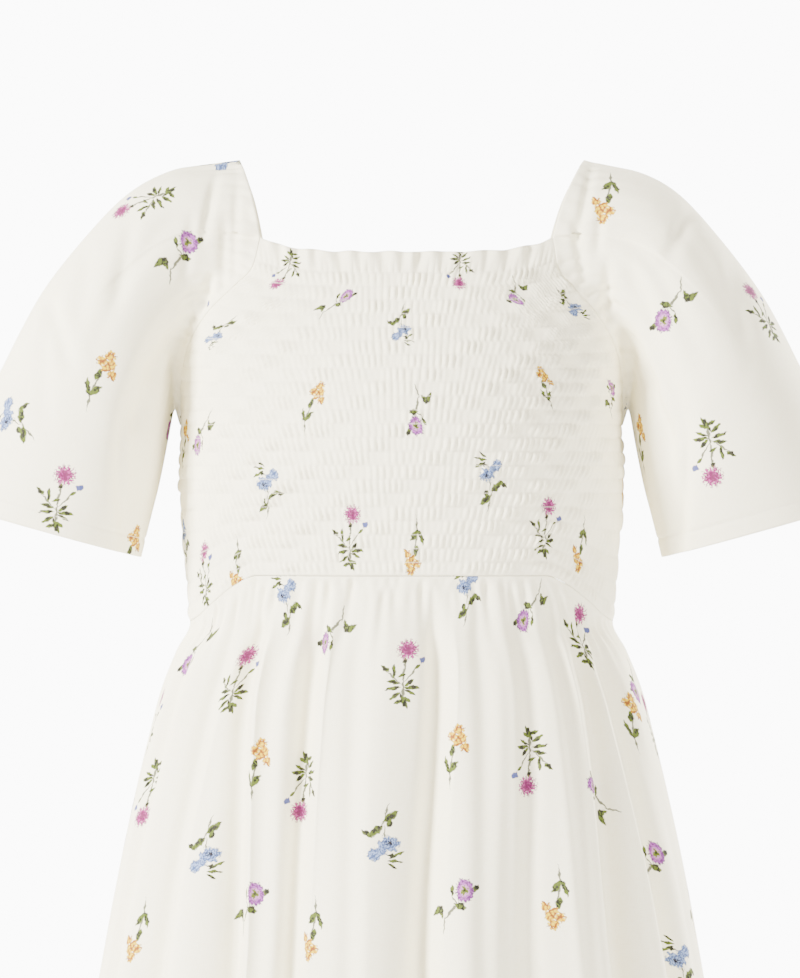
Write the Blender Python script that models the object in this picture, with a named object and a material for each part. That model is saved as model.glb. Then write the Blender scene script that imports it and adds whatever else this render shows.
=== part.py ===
"""A dress with a shirred bodice, puffed raglan sleeves and a gathered skirt, worn by an unseen figure.

X runs to the picture's right, the front faces -Y and Z is up. The origin is midway between the two
shoulder tops. All the lengths below are in mm, and every mesh is written in metres.
"""

import bpy
import numpy as np

MM = 0.001
GAP = 0.3
RING_POWER = 2.2

BODICE_WALL = 1.2
SLEEVE_WALL = 1.6
SKIRT_WALL = 1.8

HEM_Z = -1120.0
NECK_SHIFT = 4.5

# Depth of the worn form below the shoulder tops
BODY_COLUMNS = ("z", "half_width", "front_depth", "back_depth")
BODY = (
    (-60.0, 190.0, 74.0, 80.0),
    (-75.0, 194.0, 82.0, 86.0),
    (-110.0, 203.0, 101.0, 95.0),
    (-150.0, 207.0, 119.0, 104.0),
    (-190.0, 205.5, 136.0, 110.0),
    (-230.0, 203.0, 148.0, 113.0),
    (-248.0, 202.0, 150.0, 114.0),
    (-285.0, 204.0, 146.0, 114.0),
    (-322.0, 202.5, 139.0, 113.0),
    (-359.0, 199.5, 134.0, 111.0),
    (-381.0, 197.5, 132.0, 111.0),
    (-400.0, 196.0, 136.0, 116.0),
    (-425.0, 194.5, 144.0, 124.0),
    (-451.0, 207.0, 152.0, 133.0),
    (-488.0, 221.5, 163.0, 146.0),
    (-524.0, 231.0, 172.0, 156.0),
    (-580.0, 244.5, 184.0, 169.0),
    (-653.0, 260.0, 198.0, 184.0),
    (-745.0, 277.0, 212.0, 200.0),
    (-930.0, 309.0, 238.0, 229.0),
    (-1120.0, 341.0, 262.0, 254.0),
)

# Raglan seam from the neck corner down to the underarm
RAGLAN_COLUMNS = ("z", "x", "front_y", "back_y")
RAGLAN = (
    (-74.0, 133.0, 62.0, 64.0),
    (-101.0, 138.5, 72.0, 72.0),
    (-122.0, 157.0, 73.0, 72.0),
    (-142.0, 176.0, 67.0, 66.0),
    (-169.0, 193.0, 53.0, 52.0),
    (-190.0, 199.5, 39.0, 38.0),
    (-215.0, 202.0, 22.0, 22.0),
    (-234.0, 202.4, 8.0, 8.0),
    (-244.4, 202.2, 0.0, 0.0),
)

# How far the sleeve turns away from the bodice along the seam, in degrees
SEAM_TURN_COLUMNS = ("seam_point", "turn")
SEAM_TURN = ((0, 12.0), (4, 24.0), (8, 52.0), (10, 78.0), (12, 112.0))

# Shirred bodice
HEADER_ROWS = 2
SHIRRED_ROWS = 22
SHIRRING_PITCH = 12.4
SHIRRING_TOP = -108.0
ARMHOLE_ROWS = 24
BODICE_ROWS = HEADER_ROWS + 2 * SHIRRED_ROWS
SEAM_STEP = 2
PUCKER = 0.9
NECK_CENTRE_Z = -88.0
FRILL_WAVES = 10
FRILL_DEPTH = 3.2
FRONT_BODICE_SPANS = 40
BACK_BODICE_SPANS = 34

# Waist seam: flat in the middle, lower towards the sides
WAIST_COLUMNS = ("x", "drop")
WAIST = ((0.0, 0.0), (130.0, 0.0), (150.0, 8.0), (172.0, 24.0), (187.0, 37.0), (198.0, 44.0))

# Rows of the skirt below the waist seam
SKIRT_DROPS = (0.0, 8.0, 26.0, 64.0, 130.0, 215.0, 320.0, 435.0, 550.0, 655.0, 739.0)
GATHERED_SKIRT_ROWS = 3
GATHER_DEPTHS = (0.0, 1.7, 2.1)
SKIRT_SPANS = 44
FOLD_LOW_DROP = 370.0

# Folds of the skirt, each a trough: places are shares of the half width
FOLD_COLUMNS = ("place_at_waist", "place_low", "deep_high", "deep_low", "deep_hem", "half_wide")
FRONT_FOLDS = (
    (-0.930, -0.950, 3.0, 5.0, 8.0, 16.0),
    (-0.790, -0.810, 5.0, 9.0, 13.0, 22.0),
    (-0.690, -0.577, 7.0, 16.0, 22.0, 24.0),
    (-0.560, -0.480, 4.0, 2.0, 6.0, 18.0),
    (-0.406, -0.380, 6.0, 18.0, 24.0, 26.0),
    (-0.200, -0.170, 2.5, 4.0, 8.0, 20.0),
    (0.157, 0.058, 6.0, 17.0, 22.0, 24.0),
    (0.350, 0.260, 3.0, 3.0, 6.0, 24.0),
    (0.550, 0.430, 5.0, 13.0, 18.0, 30.0),
    (0.690, 0.620, 3.0, 3.0, 6.0, 18.0),
    (0.800, 0.745, 6.0, 16.0, 20.0, 20.0),
    (0.885, 0.895, 6.0, 8.0, 10.0, 16.0),
    (0.955, 0.965, 2.0, 3.0, 5.0, 12.0),
)
BACK_FOLDS = (
    (-0.900, -0.930, 4.0, 7.0, 10.0, 16.0),
    (-0.700, -0.740, 6.0, 12.0, 17.0, 22.0),
    (-0.500, -0.440, 6.0, 15.0, 20.0, 26.0),
    (-0.280, -0.240, 3.0, 6.0, 10.0, 20.0),
    (-0.080, -0.100, 6.0, 16.0, 22.0, 24.0),
    (0.140, 0.170, 3.0, 5.0, 9.0, 20.0),
    (0.330, 0.360, 6.0, 14.0, 20.0, 26.0),
    (0.560, 0.600, 5.0, 11.0, 15.0, 22.0),
    (0.740, 0.770, 4.0, 6.0, 10.0, 18.0),
    (0.900, 0.930, 4.0, 8.0, 11.0, 16.0),
)

# Neck edge of a sleeve, from its front corner over the shoulder to its back corner
NECK_EDGE_COLUMNS = ("share_out", "y", "z")
NECK_EDGE = (
    (0.00, -62.0, -74.0),
    (0.14, -59.5, -58.0),
    (0.38, -53.0, -36.0),
    (0.66, -40.0, -18.0),
    (0.88, -22.0, -5.0),
    (1.00, 0.0, 0.0),
    (0.88, 23.0, -5.0),
    (0.66, 42.0, -18.0),
    (0.38, 55.0, -36.0),
    (0.14, 61.5, -58.0),
    (0.00, 64.0, -74.0),
)
SHOULDER_TOP_X = {"left": 149.0, "right": 168.0}

# Outer and inner outlines of a sleeve from the front, and its depth front and back
SLEEVE_OUTER_COLUMNS = ("x", "z")
SLEEVE_OUTER = (
    (221.0, -9.0),
    (257.0, -28.0),
    (278.0, -46.0),
    (304.5, -83.0),
    (329.0, -120.0),
    (349.0, -156.0),
    (366.0, -190.0),
    (382.0, -221.0),
    (400.0, -267.0),
    (411.0, -317.0),
)
SLEEVE_INNER = ((202.2, -244.4), (212.5, -267.0), (223.6, -304.0), (233.0, -340.0), (239.0, -365.0))
SLEEVE_DEPTH_COLUMNS = ("share_down", "front", "back", "middle_y")
SLEEVE_DEPTH = (
    (0.0, 66.0, 68.0, 0.0),
    (0.2, 90.0, 86.0, -2.0),
    (0.45, 104.0, 98.0, -4.0),
    (0.7, 102.0, 96.0, -6.0),
    (1.0, 84.0, 80.0, -8.0),
)
SLEEVE_ROWS = (0.0, 0.035, 0.09, 0.17, 0.27, 0.39, 0.51, 0.63, 0.75, 0.88, 1.0)
SLEEVE_BLEND = 0.55
SLEEVE_POWER = 2.15

# Creases of the sleeves: angle 0 is the top of the sleeve, negative towards the front
CREASE_COLUMNS = ("angle_high", "angle_low", "from_share", "to_share", "deep", "half_wide")
LEFT_CREASES = (
    (-0.60, -0.86, 0.22, 1.15, 7.0, 15.0),
    (-0.27, -0.42, 0.18, 0.50, 3.0, 13.0),
    (-0.18, -0.40, 0.45, 0.75, 2.5, 14.0),
    (0.14, 0.20, 0.30, 0.65, 2.5, 14.0),
    (0.34, 0.46, 0.18, 0.62, 3.5, 15.0),
    (0.60, 0.80, 0.22, 1.05, 6.0, 16.0),
)
RIGHT_CREASES = (
    (-0.57, -0.86, 0.20, 1.15, 7.0, 15.0),
    (-0.34, -0.46, 0.14, 0.48, 3.0, 13.0),
    (-0.20, -0.32, 0.25, 0.60, 2.5, 14.0),
    (0.12, 0.22, 0.28, 0.60, 2.5, 14.0),
    (0.36, 0.44, 0.16, 0.66, 3.5, 15.0),
    (0.62, 0.82, 0.20, 1.05, 6.0, 16.0),
)

COLOURS = {
    "bodice_front": (0.87, 0.85, 0.82, 1.0),
    "bodice_back": (0.85, 0.83, 0.80, 1.0),
    "sleeve_left": (0.89, 0.87, 0.84, 1.0),
    "sleeve_right": (0.88, 0.86, 0.83, 1.0),
    "skirt_front": (0.86, 0.84, 0.81, 1.0),
    "skirt_back": (0.84, 0.82, 0.79, 1.0),
}


def smooth(at, table, column):
    """A column of a table read at `at` through a curve that never overshoots its rows."""
    rows = np.array(sorted(table, key=lambda row: row[0]), float)
    xs = rows[:, 0]
    ys = rows[:, column]
    steps = np.diff(xs)
    slopes = np.diff(ys) / steps
    ends = np.zeros(len(xs))
    same_way = slopes[:-1] * slopes[1:] > 0
    total = slopes[:-1] + slopes[1:]
    ends[1:-1] = np.where(same_way, 2 * slopes[:-1] * slopes[1:] / np.where(same_way, total, 1.0), 0.0)
    ends[0] = slopes[0]
    ends[-1] = slopes[-1]
    at = np.clip(np.asarray(at, float), xs[0], xs[-1])
    place = np.clip(np.searchsorted(xs, at, side="right") - 1, 0, len(steps) - 1)
    share = (at - xs[place]) / steps[place]
    low = (1 + 2 * share) * (1 - share) ** 2 * ys[place]
    high = share**2 * (3 - 2 * share) * ys[place + 1]
    bend_low = share * (1 - share) ** 2 * steps[place] * ends[place]
    bend_high = share**2 * (share - 1) * steps[place] * ends[place + 1]
    return low + high + bend_low + bend_high


def ease(share):
    share = np.clip(share, 0.0, 1.0)
    return share * share * (3 - 2 * share)


def unit(vectors):
    return vectors / np.linalg.norm(vectors, axis=-1, keepdims=True)


def stack(x, y, z):
    return np.stack(np.broadcast_arrays(x, y, z), axis=-1)


def ring_shares(angle):
    """Shares of the half width and the depth at an angle round a squared ellipse, 0 at the middle."""
    across = np.sin(angle)
    ahead = np.cos(angle)
    size = (np.abs(across) ** RING_POWER + np.abs(ahead) ** RING_POWER) ** (1 / RING_POWER)
    return across / size, ahead / size


def ring_angle(place):
    """The angle round the ring of a place given as a share of the half width."""
    place = np.clip(np.asarray(place, float), -1.0, 1.0)
    ahead = (1 - np.abs(place) ** RING_POWER) ** (1 / RING_POWER)
    return np.arctan2(place, ahead)


def waist_z(x):
    return SHIRRING_TOP - SHIRRING_PITCH * SHIRRED_ROWS - smooth(np.abs(x), WAIST, 1)


# Bodice


def row_middle_z(row):
    """Height of a row of the bodice at the centre: the frill, then two rows to each shirring pitch."""
    shirred = SHIRRING_TOP - (row - HEADER_ROWS) * SHIRRING_PITCH / 2
    header = NECK_CENTRE_Z + (SHIRRING_TOP - NECK_CENTRE_Z) * row / HEADER_ROWS
    return np.where(row < HEADER_ROWS, header, shirred)


def row_edge_z(row):
    """Height of a row where it meets the raglan seam or the side seam."""
    stops = ((0, -74.0), (HEADER_ROWS, -95.0), (ARMHOLE_ROWS, RAGLAN[-1][0]), (BODICE_ROWS, -380.8))
    rows = np.array(stops, float)
    return np.interp(row, rows[:, 0], rows[:, 1])


def bodice_surface(across, row, front):
    """Outer face of the plain bodice at a share across (-1 to 1) and a row, whole or in between."""
    across, row = np.broadcast_arrays(np.asarray(across, float), np.asarray(row, float))
    depth_column, seam_column, facing = (2, 2, -1.0) if front else (3, 3, 1.0)
    edge_z = row_edge_z(row)
    z = row_middle_z(row) + (edge_z - row_middle_z(row)) * np.abs(across) ** 4
    low = ease((row - (BODICE_ROWS - 12)) / 12)
    depth = smooth(z, BODY, depth_column)
    edge_depth = smooth(edge_z, BODY, depth_column)
    seam_x = smooth(edge_z, RAGLAN, 1)
    seam_y = np.where(row < ARMHOLE_ROWS, smooth(edge_z, RAGLAN, seam_column), 0.0)
    ahead = np.clip(seam_y / edge_depth, 0.0, 0.999)
    full_width = seam_x / (1 - ahead**RING_POWER) ** (1 / RING_POWER)
    last_angle = np.arctan2(seam_x / full_width, ahead)
    share_x, share_y = ring_shares(across * last_angle)
    rough_x = smooth(z, BODY, 1) * share_x
    z = z - low * smooth(np.abs(rough_x), WAIST, 1)
    below = smooth(z, BODY, 1)
    depth = np.where(row < ARMHOLE_ROWS, depth, smooth(z, BODY, depth_column))
    width = np.where(row < ARMHOLE_ROWS, full_width, below)
    shift = NECK_SHIFT * ease((row_edge_z(row) + 150.0) / 76.0)
    return stack(width * share_x + shift, facing * depth * share_y, z)


def surface_normals(surface, across, row, front):
    """Outward unit normals of the plain bodice by small steps across and down."""
    step = 0.004
    right = surface(np.minimum(across + step, 1.0), row, front)
    left = surface(np.maximum(across - step, -1.0), row, front)
    lower = surface(across, np.minimum(row + 0.2, BODICE_ROWS), front)
    upper = surface(across, np.maximum(row - 0.2, 0.0), front)
    normals = unit(np.cross(right - left, lower - upper))
    outward = np.where(normals[..., 1:2] * (-1.0 if front else 1.0) >= 0, 1.0, -1.0)
    return normals * outward


def seam_points(side):
    """The raglan loop of one side, front corner to underarm to back corner, at its shared points."""
    rows = np.arange(0, ARMHOLE_ROWS + 1, SEAM_STEP)
    front = bodice_surface(side, rows, True)
    back = bodice_surface(side, rows, False)
    points = np.concatenate([front, back[-2::-1]])
    front_normals = surface_normals(bodice_surface, np.full(len(rows), side), rows, True)
    back_normals = surface_normals(bodice_surface, np.full(len(rows), side), rows, False)
    front_normals[-1] = back_normals[-1] = (side, 0.0, 0.0)
    normals = np.concatenate([front_normals, back_normals[-2::-1]])
    return points, normals


def seam_frame(side):
    """What both pieces share along the raglan seam: outer points, inner points, the way across the
    seam towards the bodice, and the way in which the sleeve sets off."""
    points, normals = seam_points(side)
    along = np.empty_like(points)
    along[1:-1] = points[2:] - points[:-2]
    along[0] = points[1] - points[0]
    along[-1] = points[-1] - points[-2]
    along = unit(along)
    normals = unit(normals - along * (normals * along).sum(-1, keepdims=True))
    into_bodice = unit(np.cross(along, normals)) * side
    count = ARMHOLE_ROWS // SEAM_STEP
    place = count - np.abs(np.arange(2 * count + 1) - count)
    turn = np.radians(smooth(place, SEAM_TURN, 1))[:, None]
    sleeve_way = -into_bodice * np.cos(turn) + normals * np.sin(turn)
    sleeve_normals = normals * np.cos(turn) + into_bodice * np.sin(turn)
    mitre = unit(normals + sleeve_normals) / np.cos(turn / 2)
    away = unit(into_bodice - sleeve_way)
    return points, mitre, away, sleeve_way


def armhole_edge(side, front):
    """Outer and inner edge of a bodice panel along the raglan seam, at each whole row."""
    points, mitre, away, _ = seam_frame(side)
    count = ARMHOLE_ROWS // SEAM_STEP
    part = slice(0, count + 1) if front else slice(2 * count, count - 1, -1)
    outer = points[part] + away[part] * GAP / 2
    inner = outer - mitre[part] * BODICE_WALL
    rows = np.arange(ARMHOLE_ROWS + 1)
    shared = np.arange(0, ARMHOLE_ROWS + 1, SEAM_STEP)
    full_outer = np.stack([np.interp(rows, shared, outer[:, axis]) for axis in range(3)], axis=-1)
    full_inner = np.stack([np.interp(rows, shared, inner[:, axis]) for axis in range(3)], axis=-1)
    return full_outer, full_inner


def frill(across, row):
    """Waves of the edge above the first row of shirring, deepest at the top, none at the seams."""
    fade = np.clip(1 - row / HEADER_ROWS, 0.0, 1.0) ** 0.8
    drift = 0.35 * np.sin(7.2 * across)
    waves = np.sin(2 * np.pi * (FRILL_WAVES * (across + 1) / 2 + drift))
    uneven = 0.75 + 0.25 * np.sin(5.0 * across + 1.0)
    at_ends = ease((1 - np.abs(across)) / 0.08)
    return FRILL_DEPTH * fade * waves * uneven * at_ends


def puckers(column, row, spans):
    """The raised cells of the shirring: between two shirred rows, on every second column, staggered."""
    shirred = row - HEADER_ROWS
    between = (shirred > 0) & (shirred % 2 == 1)
    cell = (column + shirred // 2) % 2 == 0
    inside = (column > 0) & (column < spans)
    return np.where(between & cell & inside, PUCKER, 0.0)


def bodice_grid(spans, front):
    """Outer and inner points of a bodice panel on its full grid of rows and columns."""
    column, row = np.meshgrid(np.arange(spans + 1), np.arange(BODICE_ROWS + 1))
    across = column / spans * 2 - 1
    plain = bodice_surface(across, row, front)
    normals = surface_normals(bodice_surface, across, row, front)
    wave = frill(across, row)[..., None]
    raised = puckers(column, row, spans)[..., None]
    outer = plain + normals * (wave + raised)
    inner = plain + normals * (wave - BODICE_WALL)
    facing = -1.0 if front else 1.0
    for side, edge in ((-1.0, 0), (1.0, spans)):
        seam_outer, seam_inner = armhole_edge(side, front)
        outer[: ARMHOLE_ROWS + 1, edge] = seam_outer
        inner[: ARMHOLE_ROWS + 1, edge] = seam_inner
        below = slice(ARMHOLE_ROWS + 1, None)
        outer[below, edge] = plain[below, edge]
        inner[below, edge] = plain[below, edge] - np.array([side * BODICE_WALL, 0.0, 0.0])
        under = slice(ARMHOLE_ROWS, None)
        outer[under, edge, 1] += facing * GAP / 2
        inner[under, edge, 1] += facing * GAP / 2
    rise = seam_rise(plain[-1])
    outer[-1, :, 2] += rise
    inner[-1, :, 2] += rise
    return outer, inner


def seam_rise(points):
    """Half the gap at the waist seam, measured upright so that it stays true where the seam slopes."""
    steps = np.diff(points, axis=0)
    slopes = np.abs(steps[:, 2]) / np.hypot(steps[:, 0], steps[:, 1])
    slope = np.maximum(np.append(slopes, slopes[-1]), np.append(slopes[0], slopes))
    return GAP / 2 * np.hypot(1.0, 1.5 * slope)


# Skirt


def fold_tracks(folds, drop_share):
    """Angles of the fold troughs at each share of the way down, with the two side seams as ends."""
    places = np.array(folds, float)
    high = ring_angle(places[:, 0])
    low = ring_angle(places[:, 1])
    share = ease(np.asarray(drop_share, float) * SKIRT_DROPS[-1] / FOLD_LOW_DROP)
    tracks = high + (low - high) * share[..., None]
    ends = np.full(tracks.shape[:-1] + (1,), np.pi / 2)
    return np.concatenate([-ends, tracks, ends], axis=-1)


def skirt_surface(at_waist, drop_share, front):
    """Outer face of the skirt: the ring of the body, pushed in along each fold."""
    folds = FRONT_FOLDS if front else BACK_FOLDS
    depth_column, facing = (2, -1.0) if front else (3, 1.0)
    knots = fold_tracks(folds, 0.0)
    tracks = fold_tracks(folds, drop_share)
    angle = np.interp(at_waist, knots, tracks)
    seam_share = ring_shares(at_waist)[0]
    seam_z = waist_z(smooth(-381.0, BODY, 1) * seam_share)
    z = seam_z + (HEM_Z - seam_z) * drop_share
    width = smooth(z, BODY, 1)
    depth = smooth(z, BODY, depth_column)
    share_x, share_y = ring_shares(angle)
    normal = unit(stack(share_x / width, facing * share_y / depth, np.zeros_like(width)))
    reach = np.hypot(width * np.cos(angle), depth * np.sin(angle))
    push = np.zeros_like(width)
    stops = (0.0, 64.0, FOLD_LOW_DROP, SKIRT_DROPS[-1])
    for fold, track in zip(folds, tracks[1:-1]):
        deep = np.interp(drop_share * SKIRT_DROPS[-1], stops, (0.0, fold[2], fold[3], fold[4]))
        away = (angle - track) * reach / fold[5]
        push -= deep * np.exp(-(away**2))
        push += 0.30 * deep * np.exp(-((np.abs(away) - 2.0) ** 2))
    push *= 1 - np.exp(-(((np.pi / 2 - np.abs(angle)) * reach / 14.0) ** 2))
    points = stack(width * share_x, facing * depth * share_y, z)
    return points + normal * push[..., None], normal


def skirt_columns(folds, spans):
    """Waist angles of the columns: one on each fold and the rest spread between them."""
    knots = fold_tracks(folds, 0.0)
    room = np.diff(knots)
    counts = np.maximum(2, np.round(room / room.sum() * spans).astype(int))
    parts = [np.linspace(a, b, n, endpoint=False) for a, b, n in zip(knots[:-1], knots[1:], counts)]
    return np.append(np.concatenate(parts), knots[-1])


def waist_line(spans, front):
    """The waist seam as the bodice has it: one point for each of its columns."""
    return bodice_surface(np.arange(spans + 1) / spans * 2 - 1, BODICE_ROWS, front)


def skirt_rows(front):
    """Rows of outer and inner points, each with its places along the row."""
    folds = FRONT_FOLDS if front else BACK_FOLDS
    bodice_spans = FRONT_BODICE_SPANS if front else BACK_BODICE_SPANS
    facing = -1.0 if front else 1.0
    fine = np.linspace(-1.0, 1.0, 2 * bodice_spans + 1) * np.pi / 2
    wide = skirt_columns(folds, SKIRT_SPANS)
    rows = []
    for number, drop in enumerate(SKIRT_DROPS):
        gathered = number < GATHERED_SKIRT_ROWS
        at_waist = fine if gathered else wide
        points, normal = skirt_surface(at_waist, drop / SKIRT_DROPS[-1], front)
        if gathered:
            wave = np.where(np.arange(len(fine)) % 2 == 0, -1.0, 1.0)
            uneven = 0.75 + 0.25 * np.sin(np.arange(len(fine)) * 1.7)
            at_ends = ease((np.pi / 2 - np.abs(fine)) / 0.12)
            points = points + normal * (GATHER_DEPTHS[number] * wave * uneven * at_ends)[:, None]
        if number == 0:
            seam = waist_line(bodice_spans, front)
            rise = seam_rise(seam)
            seam[:, 2] -= rise
            whole = np.arange(bodice_spans + 1)
            halves = np.arange(2 * bodice_spans + 1) / 2
            points = np.stack([np.interp(halves, whole, seam[:, axis]) for axis in range(3)], axis=-1)
        inner = points - normal * SKIRT_WALL
        if number == 0:
            inner = seam_inner(bodice_spans, front, points)
        points[[0, -1], 1] += facing * GAP / 2
        inner[[0, -1], 1] += facing * GAP / 2
        rows.append((at_waist, points, inner))
    return rows


def seam_inner(bodice_spans, front, outer):
    """Inner edge of the skirt's top: under the bodice's own inner edge, one skirt wall in."""
    across = np.arange(2 * bodice_spans + 1) / bodice_spans - 1
    normals = surface_normals(bodice_surface, across, np.full(len(across), float(BODICE_ROWS)), front)
    normals[:, 2] = 0.0
    normals[0] = (-1.0, 0.0, 0.0)
    normals[-1] = (1.0, 0.0, 0.0)
    return outer - unit(normals) * SKIRT_WALL


# Sleeves


def sleeve_loop(side, name):
    """The closed start of a sleeve: the raglan loop, then the neck edge back to the front corner."""
    points, mitre, away, sleeve_way = seam_frame(side)
    front_corner = points[0]
    back_corner = points[-1]
    top_x = SHOULDER_TOP_X[name]
    edge = np.array(NECK_EDGE)[::-1][1:-1]
    corner_x = np.abs(back_corner[0] + (front_corner[0] - back_corner[0]) * 0.5)
    neck_x = side * (corner_x + (top_x - corner_x) * edge[:, 0])
    neck = stack(neck_x, edge[:, 1], edge[:, 2])
    return points, mitre, away, sleeve_way, neck


def by_length(points, shares):
    """Points at shares of the length of a line given by its corners."""
    points = np.asarray(points, float)
    lengths = np.linalg.norm(np.diff(points, axis=0), axis=1)
    reached = np.append(0.0, np.cumsum(lengths))
    reached = reached / reached[-1]
    table = np.column_stack([reached, points])
    return np.stack([smooth(shares, table, 1 + axis) for axis in range(points.shape[1])], axis=-1)


def sleeve_ring(angle, share, side, name):
    """A ring of the puffed sleeve between its outer and inner outline."""
    outer_line = ((SHOULDER_TOP_X[name], 0.0),) + SLEEVE_OUTER
    outer = by_length(outer_line, share)
    inner = by_length(SLEEVE_INNER, share)
    middle = (outer + inner) / 2
    half = (outer - inner) / 2
    size = np.abs(np.cos(angle)) ** SLEEVE_POWER + np.abs(np.sin(angle)) ** SLEEVE_POWER
    size = size ** (1 / SLEEVE_POWER)
    up = np.cos(angle) / size
    ahead = np.sin(angle) / size
    column = np.where(ahead < 0, smooth(share, SLEEVE_DEPTH, 1), smooth(share, SLEEVE_DEPTH, 2))
    x = middle[..., 0] + half[..., 0] * up
    z = middle[..., 1] + half[..., 1] * up
    y = smooth(share, SLEEVE_DEPTH, 3) + ahead * column
    return stack(side * x, y, z)


def sleeve_points(side, name):
    """Outer and inner points of a sleeve, rows from the armhole to the hem, columns round the loop."""
    seam, mitre, away, seam_way, neck = sleeve_loop(side, name)
    start = np.concatenate([seam, neck])
    lengths = np.linalg.norm(np.diff(np.concatenate([start, start[:1]]), axis=0), axis=1)
    reached = np.append(0.0, np.cumsum(lengths))[:-1]
    under = len(seam) // 2
    top = len(seam) + len(neck) // 2
    total = lengths.sum()
    first_half = (reached[top] - reached[under]) / np.pi
    second_half = (total - reached[top] + reached[under]) / np.pi
    behind = np.pi - (reached - reached[under]) / first_half
    ahead = -np.pi + (reached[under] - reached) / second_half
    ahead_past_top = -(reached - reached[top]) / second_half
    number = np.arange(len(start))
    angle = np.where(number < under, ahead, np.where(number <= top, behind, ahead_past_top))
    share = np.array(SLEEVE_ROWS)[:, None]
    ring = sleeve_ring(angle[None, :], share + 0 * angle[None, :], side, name)
    early = sleeve_ring(angle, np.full(len(angle), 0.16), side, name)
    way = unit(early - start)
    way[: len(seam)] = seam_way
    run = 124.0 + (447.0 - 124.0) * (1 + np.cos(angle)) / 2
    reach = 9.0 + 61.0 * ease((1 + np.cos(angle)) / 1.2)
    step = reach * (1 - np.exp(-run * share / reach))
    leave = start + way * step[..., None]
    mix = ease(share / SLEEVE_BLEND)[..., None]
    outer = leave * (1 - mix) + ring * mix
    outer = outer - grid_normals(outer, side) * sleeve_creases(angle, share, side, name)[..., None]
    inner = outer - grid_normals(outer, side) * SLEEVE_WALL
    count = len(seam)
    outer[0, :count] = seam - away * GAP / 2
    inner[0, :count] = outer[0, :count] - mitre * BODICE_WALL
    return outer, inner


def sleeve_creases(angle, share, side, name):
    """How far each point is pushed in by the creases of its sleeve."""
    creases = LEFT_CREASES if name == "left" else RIGHT_CREASES
    push = np.zeros(np.broadcast(angle, share).shape)
    for high, low, start, end, deep, half_wide in creases:
        middle = high + (low - high) * ease((share - start) / (end - start))
        away = (angle - middle * np.pi) * 95.0 / half_wide
        along = np.sin(np.pi * np.clip((share - start) / (end - start), 0.0, 1.0)) ** 0.8
        push += deep * along * np.exp(-(away**2))
    return push


def grid_normals(points, side):
    """Outward normals of a closed grid, from its neighbours."""
    around = np.roll(points, -1, axis=1) - np.roll(points, 1, axis=1)
    down = np.empty_like(points)
    down[1:-1] = points[2:] - points[:-2]
    down[0] = points[1] - points[0]
    down[-1] = points[-1] - points[-2]
    return unit(np.cross(around, down)) * side


# Meshes


class Cloth:
    """Points and triangles of one closed wall."""

    def __init__(self):
        self.points = []
        self.faces = []

    def row(self, points, places):
        first = len(self.points)
        self.points.extend(points.tolist())
        return list(range(first, first + len(points))), list(places)

    def strip(self, one, other):
        """Triangles between two rows, stepping along whichever has the nearer next place."""
        ids_a, at_a = one
        ids_b, at_b = other
        a = b = 0
        while a < len(ids_a) - 1 or b < len(ids_b) - 1:
            last_a = a == len(ids_a) - 1
            last_b = b == len(ids_b) - 1
            step_a = not last_a and (last_b or at_a[a + 1] <= at_b[b + 1])
            if step_a:
                self.faces.append((ids_a[a], ids_b[b], ids_a[a + 1]))
                a += 1
            else:
                self.faces.append((ids_a[a], ids_b[b], ids_b[b + 1]))
                b += 1

    def sheet(self, rows):
        for one, other in zip(rows[:-1], rows[1:]):
            self.strip(one, other)

    def edge(self, rows, end, places):
        return [ids[end] for ids, _ in rows], list(places)


def close_panel(cloth, outer_rows, inner_rows, outer_places, inner_places):
    """Joins the outer and the inner sheet of a panel round its four edges."""
    cloth.sheet(outer_rows)
    cloth.sheet(inner_rows)
    cloth.strip(outer_rows[0], inner_rows[0])
    cloth.strip(outer_rows[-1], inner_rows[-1])
    for end in (0, -1):
        outer_edge = cloth.edge(outer_rows, end, outer_places)
        inner_edge = cloth.edge(inner_rows, end, inner_places)
        cloth.strip(outer_edge, inner_edge)


def bodice_cloth(spans, front):
    outer, inner = bodice_grid(spans, front)
    cloth = Cloth()
    columns = np.arange(spans + 1)
    outer_rows = [cloth.row(points, columns) for points in outer]
    header = [0, 1, 2]
    armhole = list(range(4, ARMHOLE_ROWS + 1, SEAM_STEP))
    below = list(range(ARMHOLE_ROWS + 4, BODICE_ROWS, 4))
    inner_numbers = header + armhole + below + [BODICE_ROWS]
    inner_rows = []
    for number in inner_numbers:
        full = number <= 2 or number == BODICE_ROWS
        chosen = columns if full else columns[::2]
        inner_rows.append(cloth.row(inner[number][chosen], chosen))
    close_panel(cloth, outer_rows, inner_rows, range(BODICE_ROWS + 1), inner_numbers)
    return cloth


def skirt_cloth(front):
    cloth = Cloth()
    rows = skirt_rows(front)
    outer_rows = [cloth.row(outer, places) for places, outer, _ in rows]
    inner_rows = [cloth.row(inner, places) for places, _, inner in rows]
    numbers = range(len(rows))
    close_panel(cloth, outer_rows, inner_rows, numbers, numbers)
    return cloth


def sleeve_cloth(side, name):
    outer, inner = sleeve_points(side, name)
    cloth = Cloth()
    places = range(outer.shape[1] + 1)
    outer_rows = []
    inner_rows = []
    for points, rows in ((outer, outer_rows), (inner, inner_rows)):
        for line in points:
            ids, _ = cloth.row(line, range(len(line)))
            rows.append((ids + ids[:1], list(places)))
    cloth.sheet(outer_rows)
    cloth.sheet(inner_rows)
    cloth.strip(outer_rows[0], inner_rows[0])
    cloth.strip(outer_rows[-1], inner_rows[-1])
    return cloth


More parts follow.
